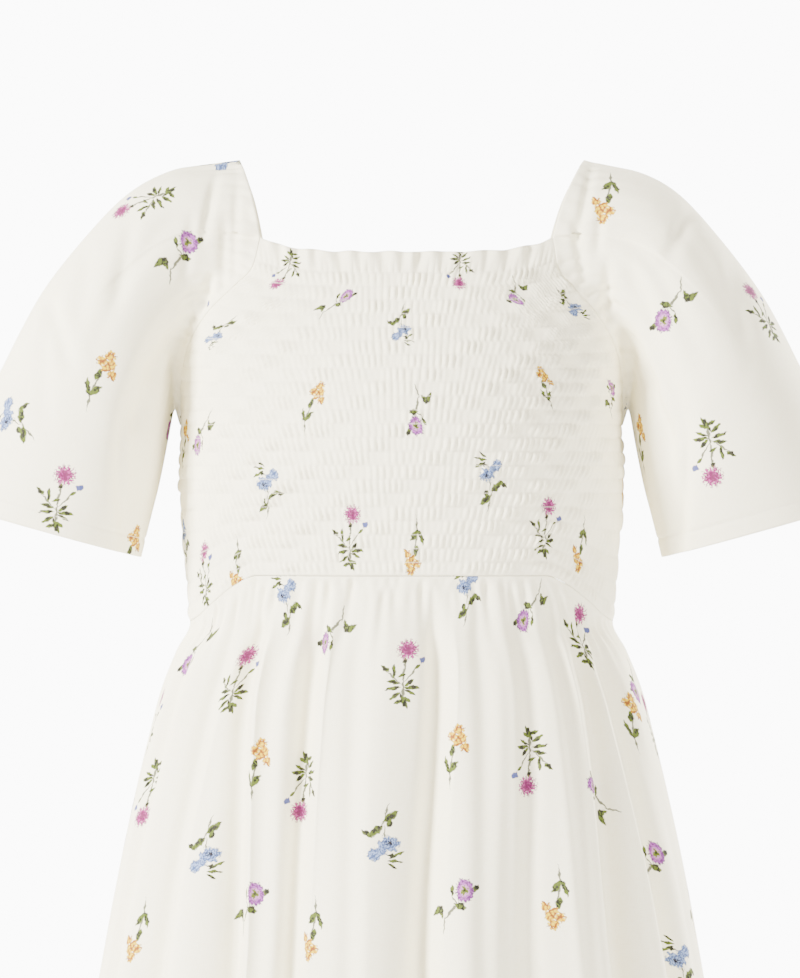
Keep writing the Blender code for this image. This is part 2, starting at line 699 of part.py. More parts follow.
def faced_outwards(points, faces):
    """The same triangles turned so that neighbours agree and the volume is positive."""
    import bmesh

    mesh = bpy.data.meshes.new("turned")
    mesh.from_pydata(points, [], faces)
    form = bmesh.new()
    form.from_mesh(mesh)
    bmesh.ops.recalc_face_normals(form, faces=form.faces)
    if form.calc_volume(signed=True) < 0:
        bmesh.ops.reverse_faces(form, faces=form.faces)
    form.to_mesh(mesh)
    form.free()
    return mesh


def add_piece(name, cloth):
    points = (np.array(cloth.points) * MM).tolist()
    mesh = faced_outwards(points, cloth.faces)
    mesh.name = name
    piece = bpy.data.objects.new(name, mesh)
    bpy.context.scene.collection.objects.link(piece)
    material = bpy.data.materials.new(name + "_cloth")
    material.use_nodes = True
    shader = material.node_tree.nodes["Principled BSDF"]
    shader.inputs["Base Color"].default_value = COLOURS[name]
    shader.inputs["Roughness"].default_value = 0.9
    shader.inputs["Metallic"].default_value = 0.0
    mesh.materials.append(material)


def main():
    for old in list(bpy.data.objects):
        bpy.data.objects.remove(old, do_unlink=True)
    add_piece("bodice_front", bodice_cloth(FRONT_BODICE_SPANS, True))
    add_piece("bodice_back", bodice_cloth(BACK_BODICE_SPANS, False))
    add_piece("sleeve_left", sleeve_cloth(-1.0, "left"))
    add_piece("sleeve_right", sleeve_cloth(1.0, "right"))
    add_piece("skirt_front", skirt_cloth(True))
    add_piece("skirt_back", skirt_cloth(False))


main()
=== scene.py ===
"""A worn dress: shirred bodice, puffed raglan sleeves and a gathered skirt in a small flower print.

X runs to the picture's right, the front faces -Y and Z is up. The origin is midway between the two
shoulder tops. The lengths in the tables are in mm, and every mesh is written in metres.
"""

import bpy
import numpy as np
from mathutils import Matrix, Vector


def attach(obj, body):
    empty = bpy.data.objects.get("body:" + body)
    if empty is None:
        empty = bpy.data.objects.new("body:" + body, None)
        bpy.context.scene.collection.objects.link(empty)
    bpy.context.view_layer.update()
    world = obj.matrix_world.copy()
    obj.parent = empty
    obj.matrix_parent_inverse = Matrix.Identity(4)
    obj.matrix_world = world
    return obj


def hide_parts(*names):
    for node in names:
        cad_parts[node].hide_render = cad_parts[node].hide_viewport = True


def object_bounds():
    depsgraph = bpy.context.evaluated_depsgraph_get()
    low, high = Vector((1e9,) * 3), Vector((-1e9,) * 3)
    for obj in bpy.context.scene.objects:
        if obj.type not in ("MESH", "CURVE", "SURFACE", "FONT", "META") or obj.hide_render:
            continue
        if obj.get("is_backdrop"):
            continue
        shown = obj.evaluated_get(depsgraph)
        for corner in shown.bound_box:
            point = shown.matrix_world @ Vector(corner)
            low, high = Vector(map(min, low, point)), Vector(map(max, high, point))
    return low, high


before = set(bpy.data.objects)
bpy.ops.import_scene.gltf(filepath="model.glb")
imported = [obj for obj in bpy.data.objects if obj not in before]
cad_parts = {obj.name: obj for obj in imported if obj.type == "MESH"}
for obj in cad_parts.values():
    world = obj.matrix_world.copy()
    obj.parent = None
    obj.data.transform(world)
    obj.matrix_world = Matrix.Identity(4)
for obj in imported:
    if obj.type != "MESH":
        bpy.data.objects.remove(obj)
bounds_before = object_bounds()

MM = 0.001
GAP = 0.3
RING_POWER = 2.2
HEM_Z = -1120.0
# How far the neck lies off the middle, where that starts, and over what rise it grows
NECK_SHIFT = 4.5
NECK_SHIFT_LOW = -150.0
NECK_SHIFT_RISE = 76.0
SEED = 41

# Form of the body under the dress, as in the solids: z, half width, front depth, back depth
BODY = (
    (-60, 190, 74, 80), (-75, 194, 82, 86), (-110, 203, 101, 95), (-150, 207, 119, 104),
    (-190, 205.5, 136, 110), (-230, 203, 148, 113), (-248, 202, 150, 114), (-285, 204, 146, 114),
    (-322, 202.5, 139, 113), (-359, 199.5, 134, 111), (-381, 197.5, 132, 111), (-400, 196, 136, 116),
    (-425, 194.5, 144, 124), (-451, 207, 152, 133), (-488, 221.5, 163, 146), (-524, 231, 172, 156),
    (-580, 244.5, 184, 169), (-653, 260, 198, 184), (-745, 277, 212, 200), (-930, 309, 238, 229),
    (-1120, 341, 262, 254),
)

# Raglan seam from the neck corner down to the underarm: z, x, front y, back y
RAGLAN = (
    (-74, 133, 62, 64), (-101, 138.5, 72, 72), (-122, 157, 73, 72), (-142, 176, 67, 66),
    (-169, 193, 53, 52), (-190, 199.5, 39, 38), (-215, 202, 22, 22), (-234, 202.4, 8, 8),
    (-244.4, 202.2, 0, 0),
)
# How far the cloth turns at the seam: point of the seam, degrees
SEAM_TURN = ((0, 12), (4, 24), (8, 52), (10, 78), (12, 112))
SEAM_STEP = 2

# Shirred bodice: two rows of the form to each row of shirring
HEADER_ROWS = 2
SHIRRED_ROWS = 22
SHIRRING_PITCH = 12.4
SHIRRING_TOP = -108.0
ARMHOLE_ROWS = 24
BODICE_ROWS = HEADER_ROWS + 2 * SHIRRED_ROWS
NECK_CENTRE_Z = -88.0
# Rows and heights of the bodice's edge, straight between them
EDGE_STOPS = ((0, -74.0), (HEADER_ROWS, -95.0), (ARMHOLE_ROWS, RAGLAN[-1][0]), (BODICE_ROWS, -380.8))
WAIST_ROWS = 12
HEADER_FINE = 14
FRILL_WAVES = 10
FRILL_DEPTH = 1.8
# Gathers between two rows: their spacing, and their lean, which is full so far to each side
GATHER_PITCH = 6.0
GATHER_LEAN = 7.5
GATHER_LEAN_AT = 150.0
# How far the cloth stands out between the rows, and how much more some way to each side
PUCKER_DEPTH = 2.5
DEEPER = 1.9
DEEPER_AT = 130.0
DEEPER_WIDE = 50.0

# Waist seam: x, drop below its middle
WAIST = ((0, 0), (130, 0), (150, 8), (172, 24), (187, 37), (198, 44))

# Soft pleats of the frill: place from the middle, depth, half width, and how far the foot leans
FRILL_PLEATS = (
    (-118, 3, 5, 3), (-101, 4.2, 5.5, 4), (-84, 2.6, 4, 2), (-62, 3.8, 5, 4), (-43, 2.4, 4, 1),
    (-22, 3.6, 5.5, 3), (-2, 2, 4, -1), (13, 4.4, 4.5, -3), (34, 3, 5, -2), (52, 3.6, 4.5, -4),
    (74, 2.4, 4, -2), (95, 3.8, 5.5, -4), (116, 3, 5, -3),
)

# Skirt
SKIRT_LENGTH = 739.0
FOLD_HIGH_DROP = 64.0
FOLD_LOW_DROP = 370.0
# How high the banks of a fold rise, as a share of its depth
BANK = 0.30
# Gathers under the waist seam, and smaller ones: share of the depth, and how many times shorter
WAIST_GATHERS = 46
SMALL_WAIST_GATHERS = 64
SMALL_SHARE = 0.4
SMALL_SHORTER = 2.8
# Folds: place at the waist, place low down, depth high up, low down and at the hem, half width
FRONT_FOLDS = (
    (-0.930, -0.950, 3, 5, 8, 16), (-0.790, -0.810, 5, 9, 13, 22), (-0.690, -0.577, 7, 16, 22, 24),
    (-0.560, -0.480, 4, 2, 6, 18), (-0.406, -0.380, 6, 18, 24, 26), (-0.200, -0.170, 2.5, 4, 8, 20),
    (0.157, 0.058, 6, 17, 22, 24), (0.350, 0.260, 3, 3, 6, 24), (0.550, 0.430, 5, 13, 18, 30),
    (0.690, 0.620, 3, 3, 6, 18), (0.800, 0.745, 6, 16, 20, 20), (0.885, 0.895, 6, 8, 10, 16),
    (0.955, 0.965, 2, 3, 5, 12),
)
BACK_FOLDS = (
    (-0.900, -0.930, 4, 7, 10, 16), (-0.700, -0.740, 6, 12, 17, 22), (-0.500, -0.440, 6, 15, 20, 26),
    (-0.280, -0.240, 3, 6, 10, 20), (-0.080, -0.100, 6, 16, 22, 24), (0.140, 0.170, 3, 5, 9, 20),
    (0.330, 0.360, 6, 14, 20, 26), (0.560, 0.600, 5, 11, 15, 22), (0.740, 0.770, 4, 6, 10, 18),
    (0.900, 0.930, 4, 8, 11, 16),
)

# Narrow cores of the deep folds: the fold's number, its depth, and how far a bank slides over it
CORE_HALF_WIDE = 8.5
FRONT_CORES = (
    (0, 5, 4), (1, 7, -5), (2, 13, -6.5), (3, 4, -2), (4, 14, -7), (5, 3.5, -2), (6, 13, -6.5),
    (7, 3, -2), (8, 5, 3), (9, 4, 2), (10, 13, 7), (11, 9, 6),
)
BACK_CORES = (
    (1, 8, -5), (2, 12, -6.5), (3, 4, 2), (4, 13, 6.5), (5, 4, -2), (6, 12, 6.5), (7, 7, -4), (9, 5, 4),
)

# Sleeves. Neck edge: share of the way out to the shoulder top, y, z
NECK_EDGE = (
    (0.00, -62, -74), (0.14, -59.5, -58), (0.38, -53, -36), (0.66, -40, -18), (0.88, -22, -5),
    (1.00, 0, 0), (0.88, 23, -5), (0.66, 42, -18), (0.38, 55, -36), (0.14, 61.5, -58), (0.00, 64, -74),
)
SHOULDER_TOP_X = {"left": 149.0, "right": 168.0}
# Outlines from the front: x, z
SLEEVE_OUTER = (
    (221, -9), (257, -28), (278, -46), (304.5, -83), (329, -120), (349, -156), (366, -190), (382, -221),
    (400, -267), (411, -317),
)
SLEEVE_INNER = ((202.2, -244.4), (212.5, -267.0), (223.6, -304.0), (233.0, -340.0), (239.0, -365.0))
# Share of the way down, depth in front, depth behind, y of the middle
SLEEVE_DEPTH = (
    (0, 66, 68, 0), (0.2, 90, 86, -2), (0.45, 104, 98, -4), (0.7, 102, 96, -6), (1, 84, 80, -8),
)
SLEEVE_BLEND = 0.55
SLEEVE_POWER = 2.15
# Share of a sleeve's columns that lie along the raglan seam
SEAM_SHARE = 0.33
EARLY_RING = 0.16
# Lengths of a sleeve under and over the arm, and how far it keeps to the seam's way in each place
UNDER_LENGTH = 124.0
OVER_LENGTH = 447.0
UNDER_REACH = 9.0
OVER_REACH = 61.0
SLEEVE_GATHERS = 46
SLEEVE_RADIUS = 95.0
SEEN_CREASE_FACTOR = 1.6
# Ridge over the stitching of the sleeve's hem
HEM_RIDGE = 0.9
HEM_RIDGE_WIDE = 1.8

# Creases of the sleeves: upper and lower angle, from and to share of the way down, depth, half
# width. Angle 0 is the top of the sleeve, and negative ones lie towards the front.
CREASES = {
    "left": (
        (-0.60, -0.86, 0.22, 1.15, 7, 15), (-0.27, -0.42, 0.18, 0.50, 3, 13),
        (-0.18, -0.40, 0.45, 0.75, 2.5, 14), (0.14, 0.20, 0.30, 0.65, 2.5, 14),
        (0.34, 0.46, 0.18, 0.62, 3.5, 15), (0.60, 0.80, 0.22, 1.05, 6, 16),
    ),
    "right": (
        (-0.57, -0.86, 0.20, 1.15, 7, 15), (-0.34, -0.46, 0.14, 0.48, 3, 13),
        (-0.20, -0.32, 0.25, 0.60, 2.5, 14), (0.12, 0.22, 0.28, 0.60, 2.5, 14),
        (0.36, 0.44, 0.16, 0.66, 3.5, 15), (0.62, 0.82, 0.20, 1.05, 6, 16),
    ),
}

# Creases as the photograph shows them, straight on: from x, from z, to x, to z, depth, half width
SEEN_CREASES = {
    "left": (
        (-170, -20, -180, -75, 2.6, 4.5), (-172, -110, -184, -142, 3.2, 4.5),
        (-150, -30, -153, -120, 1.8, 4), (-160, -62, -163, -125, 2.4, 5), (-190, -55, -196, -110, 1.6, 5),
        (-246, -60, -258, -130, 2.6, 8), (-320, -135, -300, -190, 2.8, 8), (-286, -90, -292, -150, 1.8, 9),
        (-204, -160, -220, -200, 4.5, 8), (-218, -190, -234, -245, 5.5, 9), (-232, -235, -240, -345, 5, 10),
    ),
    "right": (
        (174, -8, 160, -72, 2.6, 4.5), (187, -100, 187, -146, 3, 4.5), (181, -50, 178, -86, 2.2, 4.5),
        (157, -62, 166, -110, 2.4, 4.5), (264, -50, 240, -96, 2.6, 8), (207, -104, 228, -158, 3.4, 8),
        (300, -95, 312, -160, 1.8, 9), (204, -160, 222, -212, 4.5, 8), (216, -200, 238, -262, 5.5, 9),
        (234, -250, 244, -345, 5, 10),
    ),
}
CORNER_ROUNDING = 13.0

# Cloth turned in past an edge: how far beyond the edge and how far inwards each new row lies
HEM_TURN = ((0.2, 0.4), (-0.1, 0.9), (-7.0, 1.1))
SEAM_ALLOWANCE = ((0.0, 0.5), (-0.4, 1.5), (-1.2, 3.0))

# Print: each flower upright about its middle, in units of 10 mm. Leaves and stems: from x, from y,
# to x, to y, half width. Heads, bud and eye: x, y, half width, half height.
FLOWER_UNIT = 10.0
FLOWER_STEP = 20.0
# Least room between a flower of the repeat and the seen ones, and how far it may miss its own spot
FLOWER_ROOM = 38.0
REPEAT_MISS = 4.0
# Half size of the cloth that one flower covers
FLOWER_REACH = (3.0, 3.9)
KINDS = ("pink", "lilac", "orange", "blue")
PINK_LEAVES = (
    (-2.05, 0.85, -1.3, 0.4, 0.16), (-0.85, 1.0, -0.8, -0.25, 0.16), (-0.4, -0.1, 0.2, 0.1, 0.14),
    (-1.5, -0.45, -0.3, -0.8, 0.15), (-1.6, -1.3, -0.3, -1.1, 0.14), (-1.1, -2.15, -0.2, -1.6, 0.15),
    (0.1, -1.1, 1.5, -1.15, 0.13), (0.2, -0.95, 1.0, -0.35, 0.13), (0.1, -1.3, 1.2, -1.75, 0.13),
    (-0.2, -1.75, 0.45, -3.05, 0.20), (0.1, -2.0, 0.75, -2.45, 0.13), (-0.75, -2.55, 0.0, -2.3, 0.13),
    (0.12, 1.65, 0.14, 1.1, 0.13), (1.55, 1.05, 1.15, 0.55, 0.15),
)
PINK_STEMS = (
    (0.14, 1.6, 0.0, -0.9, 0.07), (1.5, 0.9, 0.1, -0.6, 0.06), (0.0, -0.4, 0.05, -2.4, 0.09),
    (-1.6, 0.45, -0.1, -0.9, 0.06),
)
PINK_HEAD = (0.42, 2.4, 1.05, 0.98)
PINK_BUD = ((1.85, 1.4, 0.34, 0.30),)
LILAC_HEAD = (1.0, 1.35, 0.85, 1.08)
LILAC_LEAVES = (
    (-0.15, 1.75, -0.1, 0.9, 0.13), (1.8, 1.2, 2.3, 1.85, 0.20), (0.1, 0.15, 1.15, -0.2, 0.24),
    (-2.3, -0.95, -1.2, -0.15, 0.28), (-1.35, -0.1, -1.05, -1.15, 0.22),
)
LILAC_STEMS = (
    (0.6, 0.5, -0.85, -1.4, 0.08), (-0.75, -1.0, -0.9, -2.5, 0.07), (-0.1, 0.9, 0.3, 0.1, 0.06),
)
ORANGE_HEADS = (
    (0.35, 1.85, 0.55, 0.50), (-0.2, 1.25, 0.50, 0.45), (0.75, 1.15, 0.50, 0.45),
    (1.05, 0.35, 0.45, 0.50), (0.35, 0.75, 0.50, 0.45),
)
ORANGE_LEAVES = (
    (0.05, 0.5, -0.3, -0.55, 0.24), (-0.95, -0.65, -0.45, -2.05, 0.20), (0.4, -0.95, -0.4, -2.05, 0.24),
    (0.2, 1.4, 0.75, 0.9, 0.10),
)
ORANGE_STEMS = (
    (0.2, 0.6, -0.4, -1.9, 0.08), (-0.45, -1.5, -0.15, -3.3, 0.06),
)
BLUE_HEADS = (
    (-0.45, 0.7, 1.0, 0.72), (0.85, 1.6, 0.72, 0.58), (0.15, 1.15, 0.60, 0.55),
)
BLUE_EYE = ((-0.45, 0.62, 0.36, 0.26),)
BLUE_LEAVES = (
    (-0.4, 2.2, -1.75, 2.3, 0.11), (-0.55, 1.95, -1.85, 1.4, 0.12), (-0.3, 2.4, -1.2, 2.9, 0.11),
    (-0.2, 1.7, -1.3, 1.75, 0.11), (0.25, -1.3, -1.15, -2.15, 0.28), (-0.2, -1.35, -0.65, -0.95, 0.22),
    (1.45, 0.0, 0.3, -0.95, 0.26), (2.1, -0.5, 1.2, 0.05, 0.18), (0.9, -0.75, 0.5, -0.3, 0.16),
)
BLUE_STEMS = (
    (-0.2, -2.9, 0.3, -0.9, 0.06), (0.3, -1.0, 1.6, 0.0, 0.07), (0.1, -1.0, 0.0, 0.3, 0.06),
)

# Flowers as the photograph has them: kind, place from the front, and turn in degrees
SPRIGS = {
    "puff_sleeve_left": (
        ("pink", -235, -41, 122), ("lilac", -202, -92, 0), ("orange", -270, -200, -18),
        ("blue", -351, -239, 60), ("pink", -310, -313, -8), ("orange", -247, -359, 0),
        ("lilac", -211, -236, 180),
    ),
    "puff_sleeve_right": (
        ("orange", 188, -39, 180), ("lilac", 245, -136, 185), ("pink", 328, -143, 10),
        ("pink", 280, -267, 190), ("orange", 218, -258, 0), ("blue", 344, -336, 90),
    ),
    "shirred_front": (
        ("pink", -102, -105, 180), ("lilac", -61, -136, 0), ("blue", -165, -161, 170),
        ("blue", 0, -155, 180), ("pink", 53, -103, 180), ("lilac", 103, -124, 180),
        ("blue", 152, -135, 180), ("orange", -80, -225, 0), ("orange", 128, -210, 0),
        ("lilac", 15, -232, 205), ("lilac", -181, -250, 180), ("orange", -197, -258, 0),
        ("blue", -121, -304, 0), ("blue", 79, -296, 0), ("pink", -47, -348, 0),
        ("orange", 11, -359, 180), ("pink", 129, -340, 0), ("orange", 162, -357, 180),
        ("lilac", 191, -221, 0), ("orange", -148, -375, 180), ("pink", -179, -382, 0),
        ("blue", -198, -350, 0), ("orange", 203, -294, 180),
    ),
    "gathered_skirt_front": (
        ("blue", -103, -405, 0), ("blue", 59, -397, 0), ("lilac", -61, -430, 170),
        ("lilac", 118, -408, 180), ("lilac", -185, -446, 180), ("pink", -149, -478, 0),
        ("pink", 2, -469, 0), ("pink", 161, -437, 0), ("orange", -130, -549, 0),
        ("orange", 46, -536, 0), ("pink", -86, -566, 180), ("pink", 115, -545, 180),
        ("pink", -227, -575, 180), ("orange", 209, -511, 0), ("lilac", 174, -581, 90),
        ("blue", -173, -624, 180), ("blue", -15, -612, 180), ("lilac", 224, -644, 0),
        ("lilac", 46, -670, 0), ("lilac", -138, -676, 0), ("orange", 138, -672, 180),
        ("orange", -79, -695, 180), ("orange", -238, -706, 180), ("blue", 254, -734, 0),
    ),
}
PHOTO_BOTTOM_Z = -752.0

# The same flowers as a repeat of kinds and turns, for the cloth that the photograph doesn't show
REPEAT_SIZE = (165.0, 335.0)
REPEAT_START = (-118.0, 23.0)
REPEAT_STEP = (62.0, -42.0)
REPEAT = (
    ("blue", 0), ("lilac", 180), ("pink", 0), ("orange", 0), ("pink", 180), ("blue", 180), ("lilac", 0),
    ("orange", 180),
)


def linear(red, green, blue):
    """A colour for the shader from its three screen values, each over 255 and to the power 2.2."""
    return tuple((value / 255.0) ** 2.2 for value in (red, green, blue)) + (1.0,)


CLOTH_LIGHT = (0.93, 0.885, 0.70, 1.0)
CLOTH_DARK = (0.89, 0.835, 0.63, 1.0)
INK_AND_SHADE = {
    "leaf_pale": linear(74, 88, 22),
    "leaf_dark": linear(18, 22, 10),
    "stem": linear(48, 56, 26),
    "pink_pale": linear(158, 52, 124),
    "pink_dark": linear(98, 14, 72),
    "bud": linear(66, 74, 126),
    "lilac_pale": linear(150, 76, 158),
    "lilac_dark": linear(90, 34, 98),
    "lilac_white": linear(184, 124, 174),
    "eye": linear(84, 96, 2),
    "orange_pale": linear(214, 186, 0),
    "orange": linear(188, 142, 0),
    "orange_dark": linear(122, 68, 0),
    "blue": linear(62, 80, 122),
    "blue_pale": linear(124, 144, 184),
    "navy": linear(14, 16, 36),
    # Not an ink: painted shade laid along the stitched lines, where the thread pulls the cloth into a
    # groove
    "shade": linear(196, 186, 168),
}
THREAD_PITCH = 0.0006
STITCH_LENGTH = 0.0026
HEM_STITCH = 0.017
# Slubs are fine across the thread and long along it
SLUB_ACROSS = 1900.0
SLUB_ALONG = 110.0
# How far the unsteady hand moves a point of the print
SHAKE = 0.34

# How fine each piece is: columns, and rows to one row of shirring or in all
FRONT_BODICE_FINE = (540, 6)
BACK_BODICE_FINE = (300, 6)
FRONT_SKIRT_FINE = (480, 150)
BACK_SKIRT_FINE = (320, 90)
SLEEVE_FINE = (300, 130)


def smooth(at, table, column):
    """A column of a table read at `at`: cubics between the rows, with slopes that never overshoot."""
    rows = np.array(sorted(table, key=lambda row: row[0]), float)
    xs = rows[:, 0]
    ys = rows[:, column]
    steps = np.diff(xs)
    slopes = np.diff(ys) / steps
    ends = np.zeros(len(xs))
    same_way = slopes[:-1] * slopes[1:] > 0
    total = slopes[:-1] + slopes[1:]
    ends[1:-1] = np.where(same_way, 2 * slopes[:-1] * slopes[1:] / np.where(same_way, total, 1.0), 0.0)
    ends[0] = slopes[0]
    ends[-1] = slopes[-1]
    at = np.clip(np.asarray(at, float), xs[0], xs[-1])
    place = np.clip(np.searchsorted(xs, at, side="right") - 1, 0, len(steps) - 1)
    share = (at - xs[place]) / steps[place]
    low = (1 + 2 * share) * (1 - share) ** 2 * ys[place]
    high = share**2 * (3 - 2 * share) * ys[place + 1]
    bend_low = share * (1 - share) ** 2 * steps[place] * ends[place]
    bend_high = share**2 * (share - 1) * steps[place] * ends[place + 1]
    return low + high + bend_low + bend_high


def ease(share):
    """3 s^2 - 2 s^3 of a share kept between 0 and 1."""
    share = np.clip(share, 0.0, 1.0)
    return share * share * (3 - 2 * share)


def unit(vectors):
    """Vectors over their own lengths."""
    return vectors / np.linalg.norm(vectors, axis=-1, keepdims=True)


def bell(away):
    """exp(-d^2)."""
    return np.exp(-(away**2))


def stack(x, y, z):
    """Points from their three parts, each spread out to the shape of the largest."""
    return np.stack(np.broadcast_arrays(x, y, z), axis=-1)


def ring_shares(angle):
    """Sine and cosine of an angle, each over the size that puts them on a squared ellipse."""
    across = np.sin(angle)
    ahead = np.cos(angle)
    size = (np.abs(across) ** RING_POWER + np.abs(ahead) ** RING_POWER) ** (1 / RING_POWER)
    return across / size, ahead / size


def ring_angle(place):
    """The angle on that ellipse of a place given as a share of the half width."""
    place = np.clip(np.asarray(place, float), -1.0, 1.0)
    ahead = (1 - np.abs(place) ** RING_POWER) ** (1 / RING_POWER)
    return np.arctan2(place, ahead)


def waves(at, count, low, high, seed):
    """Sum of sines of uneven lengths between low and high, over the root of their count."""
    dice = np.random.default_rng(SEED + seed)
    total = np.zeros(np.shape(at))
    for length, phase in zip(dice.uniform(low, high, count), dice.uniform(0, 2 * np.pi, count)):
        total = total + np.sin(2 * np.pi * at / length + phase)
    return total / np.sqrt(count)


# Bodice


def row_middle_z(row):
    """Height of a row at the centre: the frill, then half a shirring pitch to each row."""
    shirred = SHIRRING_TOP - (row - HEADER_ROWS) * SHIRRING_PITCH / 2
    header = NECK_CENTRE_Z + (SHIRRING_TOP - NECK_CENTRE_Z) * row / HEADER_ROWS
    return np.where(row < HEADER_ROWS, header, shirred)


def row_edge_z(row):
    """Height of a row at the raglan or side seam, straight between four stops."""
    rows = np.array(EDGE_STOPS, float)
    return np.interp(row, rows[:, 0], rows[:, 1])


def bodice_surface(across, row, front):
    """The plain bodice: at each row a squared ellipse that ends on the seam, its height moving from
    the row's middle height to its edge height with the fourth power of the share across."""
    across, row = np.broadcast_arrays(np.asarray(across, float), np.asarray(row, float))
    depth_column, seam_column, facing = (2, 2, -1.0) if front else (3, 3, 1.0)
    edge_z = row_edge_z(row)
    z = row_middle_z(row) + (edge_z - row_middle_z(row)) * np.abs(across) ** 4
    low = ease((row - (BODICE_ROWS - WAIST_ROWS)) / WAIST_ROWS)
    depth = smooth(z, BODY, depth_column)
    edge_depth = smooth(edge_z, BODY, depth_column)
    seam_x = smooth(edge_z, RAGLAN, 1)
    seam_y = np.where(row < ARMHOLE_ROWS, smooth(edge_z, RAGLAN, seam_column), 0.0)
    ahead = np.clip(seam_y / edge_depth, 0.0, 0.999)
    full_width = seam_x / (1 - ahead**RING_POWER) ** (1 / RING_POWER)
    last_angle = np.arctan2(seam_x / full_width, ahead)
    share_x, share_y = ring_shares(across * last_angle)
    rough_x = smooth(z, BODY, 1) * share_x
    z = z - low * smooth(np.abs(rough_x), WAIST, 1)
    below = smooth(z, BODY, 1)
    depth = np.where(row < ARMHOLE_ROWS, depth, smooth(z, BODY, depth_column))
    width = np.where(row < ARMHOLE_ROWS, full_width, below)
    shift = NECK_SHIFT * ease((edge_z - NECK_SHIFT_LOW) / NECK_SHIFT_RISE)
    return stack(width * share_x + shift, facing * depth * share_y, z)


def bodice_normals(across, row, front):
    """Cross product of small steps across and down the plain bodice, turned outwards."""
    step = 0.004
    right = bodice_surface(np.minimum(across + step, 1.0), row, front)
    left = bodice_surface(np.maximum(across - step, -1.0), row, front)
    lower = bodice_surface(across, np.minimum(row + 0.2, BODICE_ROWS), front)
    upper = bodice_surface(across, np.maximum(row - 0.2, 0.0), front)
    normals = unit(np.cross(right - left, lower - upper))
    outward = np.where(normals[..., 1:2] * (-1.0 if front else 1.0) >= 0, 1.0, -1.0)
    return normals * outward


def seam_frame(side, rows):
    """The raglan loop, front corner to underarm to back corner, at the given rows of the bodice:
    points, the mitre between the two cloths, the way from sleeve to bodice, and the sleeve's way."""
    front = bodice_surface(side, rows, True)
    back = bodice_surface(side, rows, False)
    points = np.concatenate([front, back[-2::-1]])
    front_normals = bodice_normals(np.full(len(rows), side), rows, True)
    back_normals = bodice_normals(np.full(len(rows), side), rows, False)
    front_normals[-1] = back_normals[-1] = (side, 0.0, 0.0)
    normals = np.concatenate([front_normals, back_normals[-2::-1]])
    along = unit(differences(points))
    normals = unit(normals - along * (normals * along).sum(-1, keepdims=True))
    into_bodice = unit(np.cross(along, normals)) * side
    place = np.concatenate([rows, rows[-2::-1]]) / SEAM_STEP
    turn = np.radians(smooth(place, SEAM_TURN, 1))[:, None]
    sleeve_way = -into_bodice * np.cos(turn) + normals * np.sin(turn)
    sleeve_normals = normals * np.cos(turn) + into_bodice * np.sin(turn)
    mitre = unit(normals + sleeve_normals) / np.cos(turn / 2)
    away = unit(into_bodice - sleeve_way)
    return points, mitre, away, sleeve_way


def arc(points, axis):
    """Lengths summed down the columns of a grid (axis 0) or along its rows (axis 1)."""
    steps = np.linalg.norm(np.diff(points, axis=axis, prepend=points.take([0], axis)), axis=-1)
    return np.cumsum(steps, axis=axis)


def from_middle(lengths):
    """Lengths along each row, counted from the grid's middle column."""
    middle = lengths.shape[1] // 2
    return lengths - lengths[:, middle : middle + 1]


def differences(points):
    """The way from each row's neighbour above to the one below, or to the only one at the ends."""
    first = points[1:2] - points[:1]
    last = points[-1:] - points[-2:-1]
    return np.concatenate([first, points[2:] - points[:-2], last])


def frill(across, row):
    """The frill's broad waves, deepest at its edge and none at its foot or at the seams."""
    fade = np.clip(1 - row / HEADER_ROWS, 0.0, 1.0) ** 0.8
    drift = 0.35 * np.sin(7.2 * across)
    wave = np.sin(2 * np.pi * (FRILL_WAVES * (across + 1) / 2 + drift))
    uneven = 0.75 + 0.25 * np.sin(5.0 * across + 1.0)
    at_ends = ease((1 - np.abs(across)) / 0.08)
    return 0.45 * FRILL_DEPTH * fade * wave * uneven * at_ends


def frill_pleats(x, row):
    """Troughs exp(-(distance / half width)^2) of the table's pleats, leaning and fading to the foot."""
    share = np.clip(row / HEADER_ROWS, 0.0, 1.0)
    push = np.zeros(np.shape(x))
    for place, deep, half_wide, lean in FRILL_PLEATS:
        away = (x - place - lean * share) / (half_wide * (1 - 0.35 * share))
        push = push - deep * (1 - 0.75 * share) * bell(away)
        push = push + 0.35 * deep * (1 - share) * bell(np.abs(away) - 2.0)
    return push


def gather_ridges(x, band, share, seed):
    """Ridges |sin(phase / 2)|^0.8 with a sharp valley between each two. The phase runs with the
    place, leans with the share down the band, and starts anew in every band."""
    dice = np.random.default_rng(SEED + seed)
    start = dice.uniform(0, 2 * np.pi, SHIRRED_ROWS + 3)[band + 1]
    tilt = -GATHER_LEAN * np.clip(x / GATHER_LEAN_AT, -1.0, 1.0)
    drift = 1.1 * np.sin(x / 17.0 + 2.1 * band) + 0.8 * np.sin(x / 9.1 + 4.7 * band)
    phase = 2 * np.pi * (x - tilt * (share - 0.5)) / GATHER_PITCH + start + drift
    height = 0.56 + 0.30 * np.sin(x / 13.0 + 1.9 * band) + 0.26 * np.sin(x / 5.3 + 3.1 * band)
    return np.clip(height, 0.1, 1.1) * np.abs(np.sin(phase / 2)) ** 0.8


def shirring(x, row, seed):
    """How far the shirred cloth stands out: between two stitched rows it swells with the sine of the
    share down, and the gathers ride on it; on the stitched row it is held in. It is deepest
    some way out to each side of the middle."""
    down = np.clip((row - HEADER_ROWS) / 2, 0.0, SHIRRED_ROWS - 1e-6)
    band = np.floor(down).astype(int)
    share = down - band
    swell = np.sin(np.pi * share) ** 0.7
    ridges = gather_ridges(x, band, share, seed)
    broad = 0.25 * waves(x + 9.0 * band, 4, 40.0, 90.0, seed + 5)
    full = PUCKER_DEPTH + DEEPER * bell((np.abs(x) - DEEPER_AT) / DEEPER_WIDE)
    body = swell * (full * ridges + broad - 0.1) + (1 - swell) * (1.1 * ridges - 0.3)
    header = ridges_above(x, row, seed)
    return np.where(row < HEADER_ROWS, header, body)


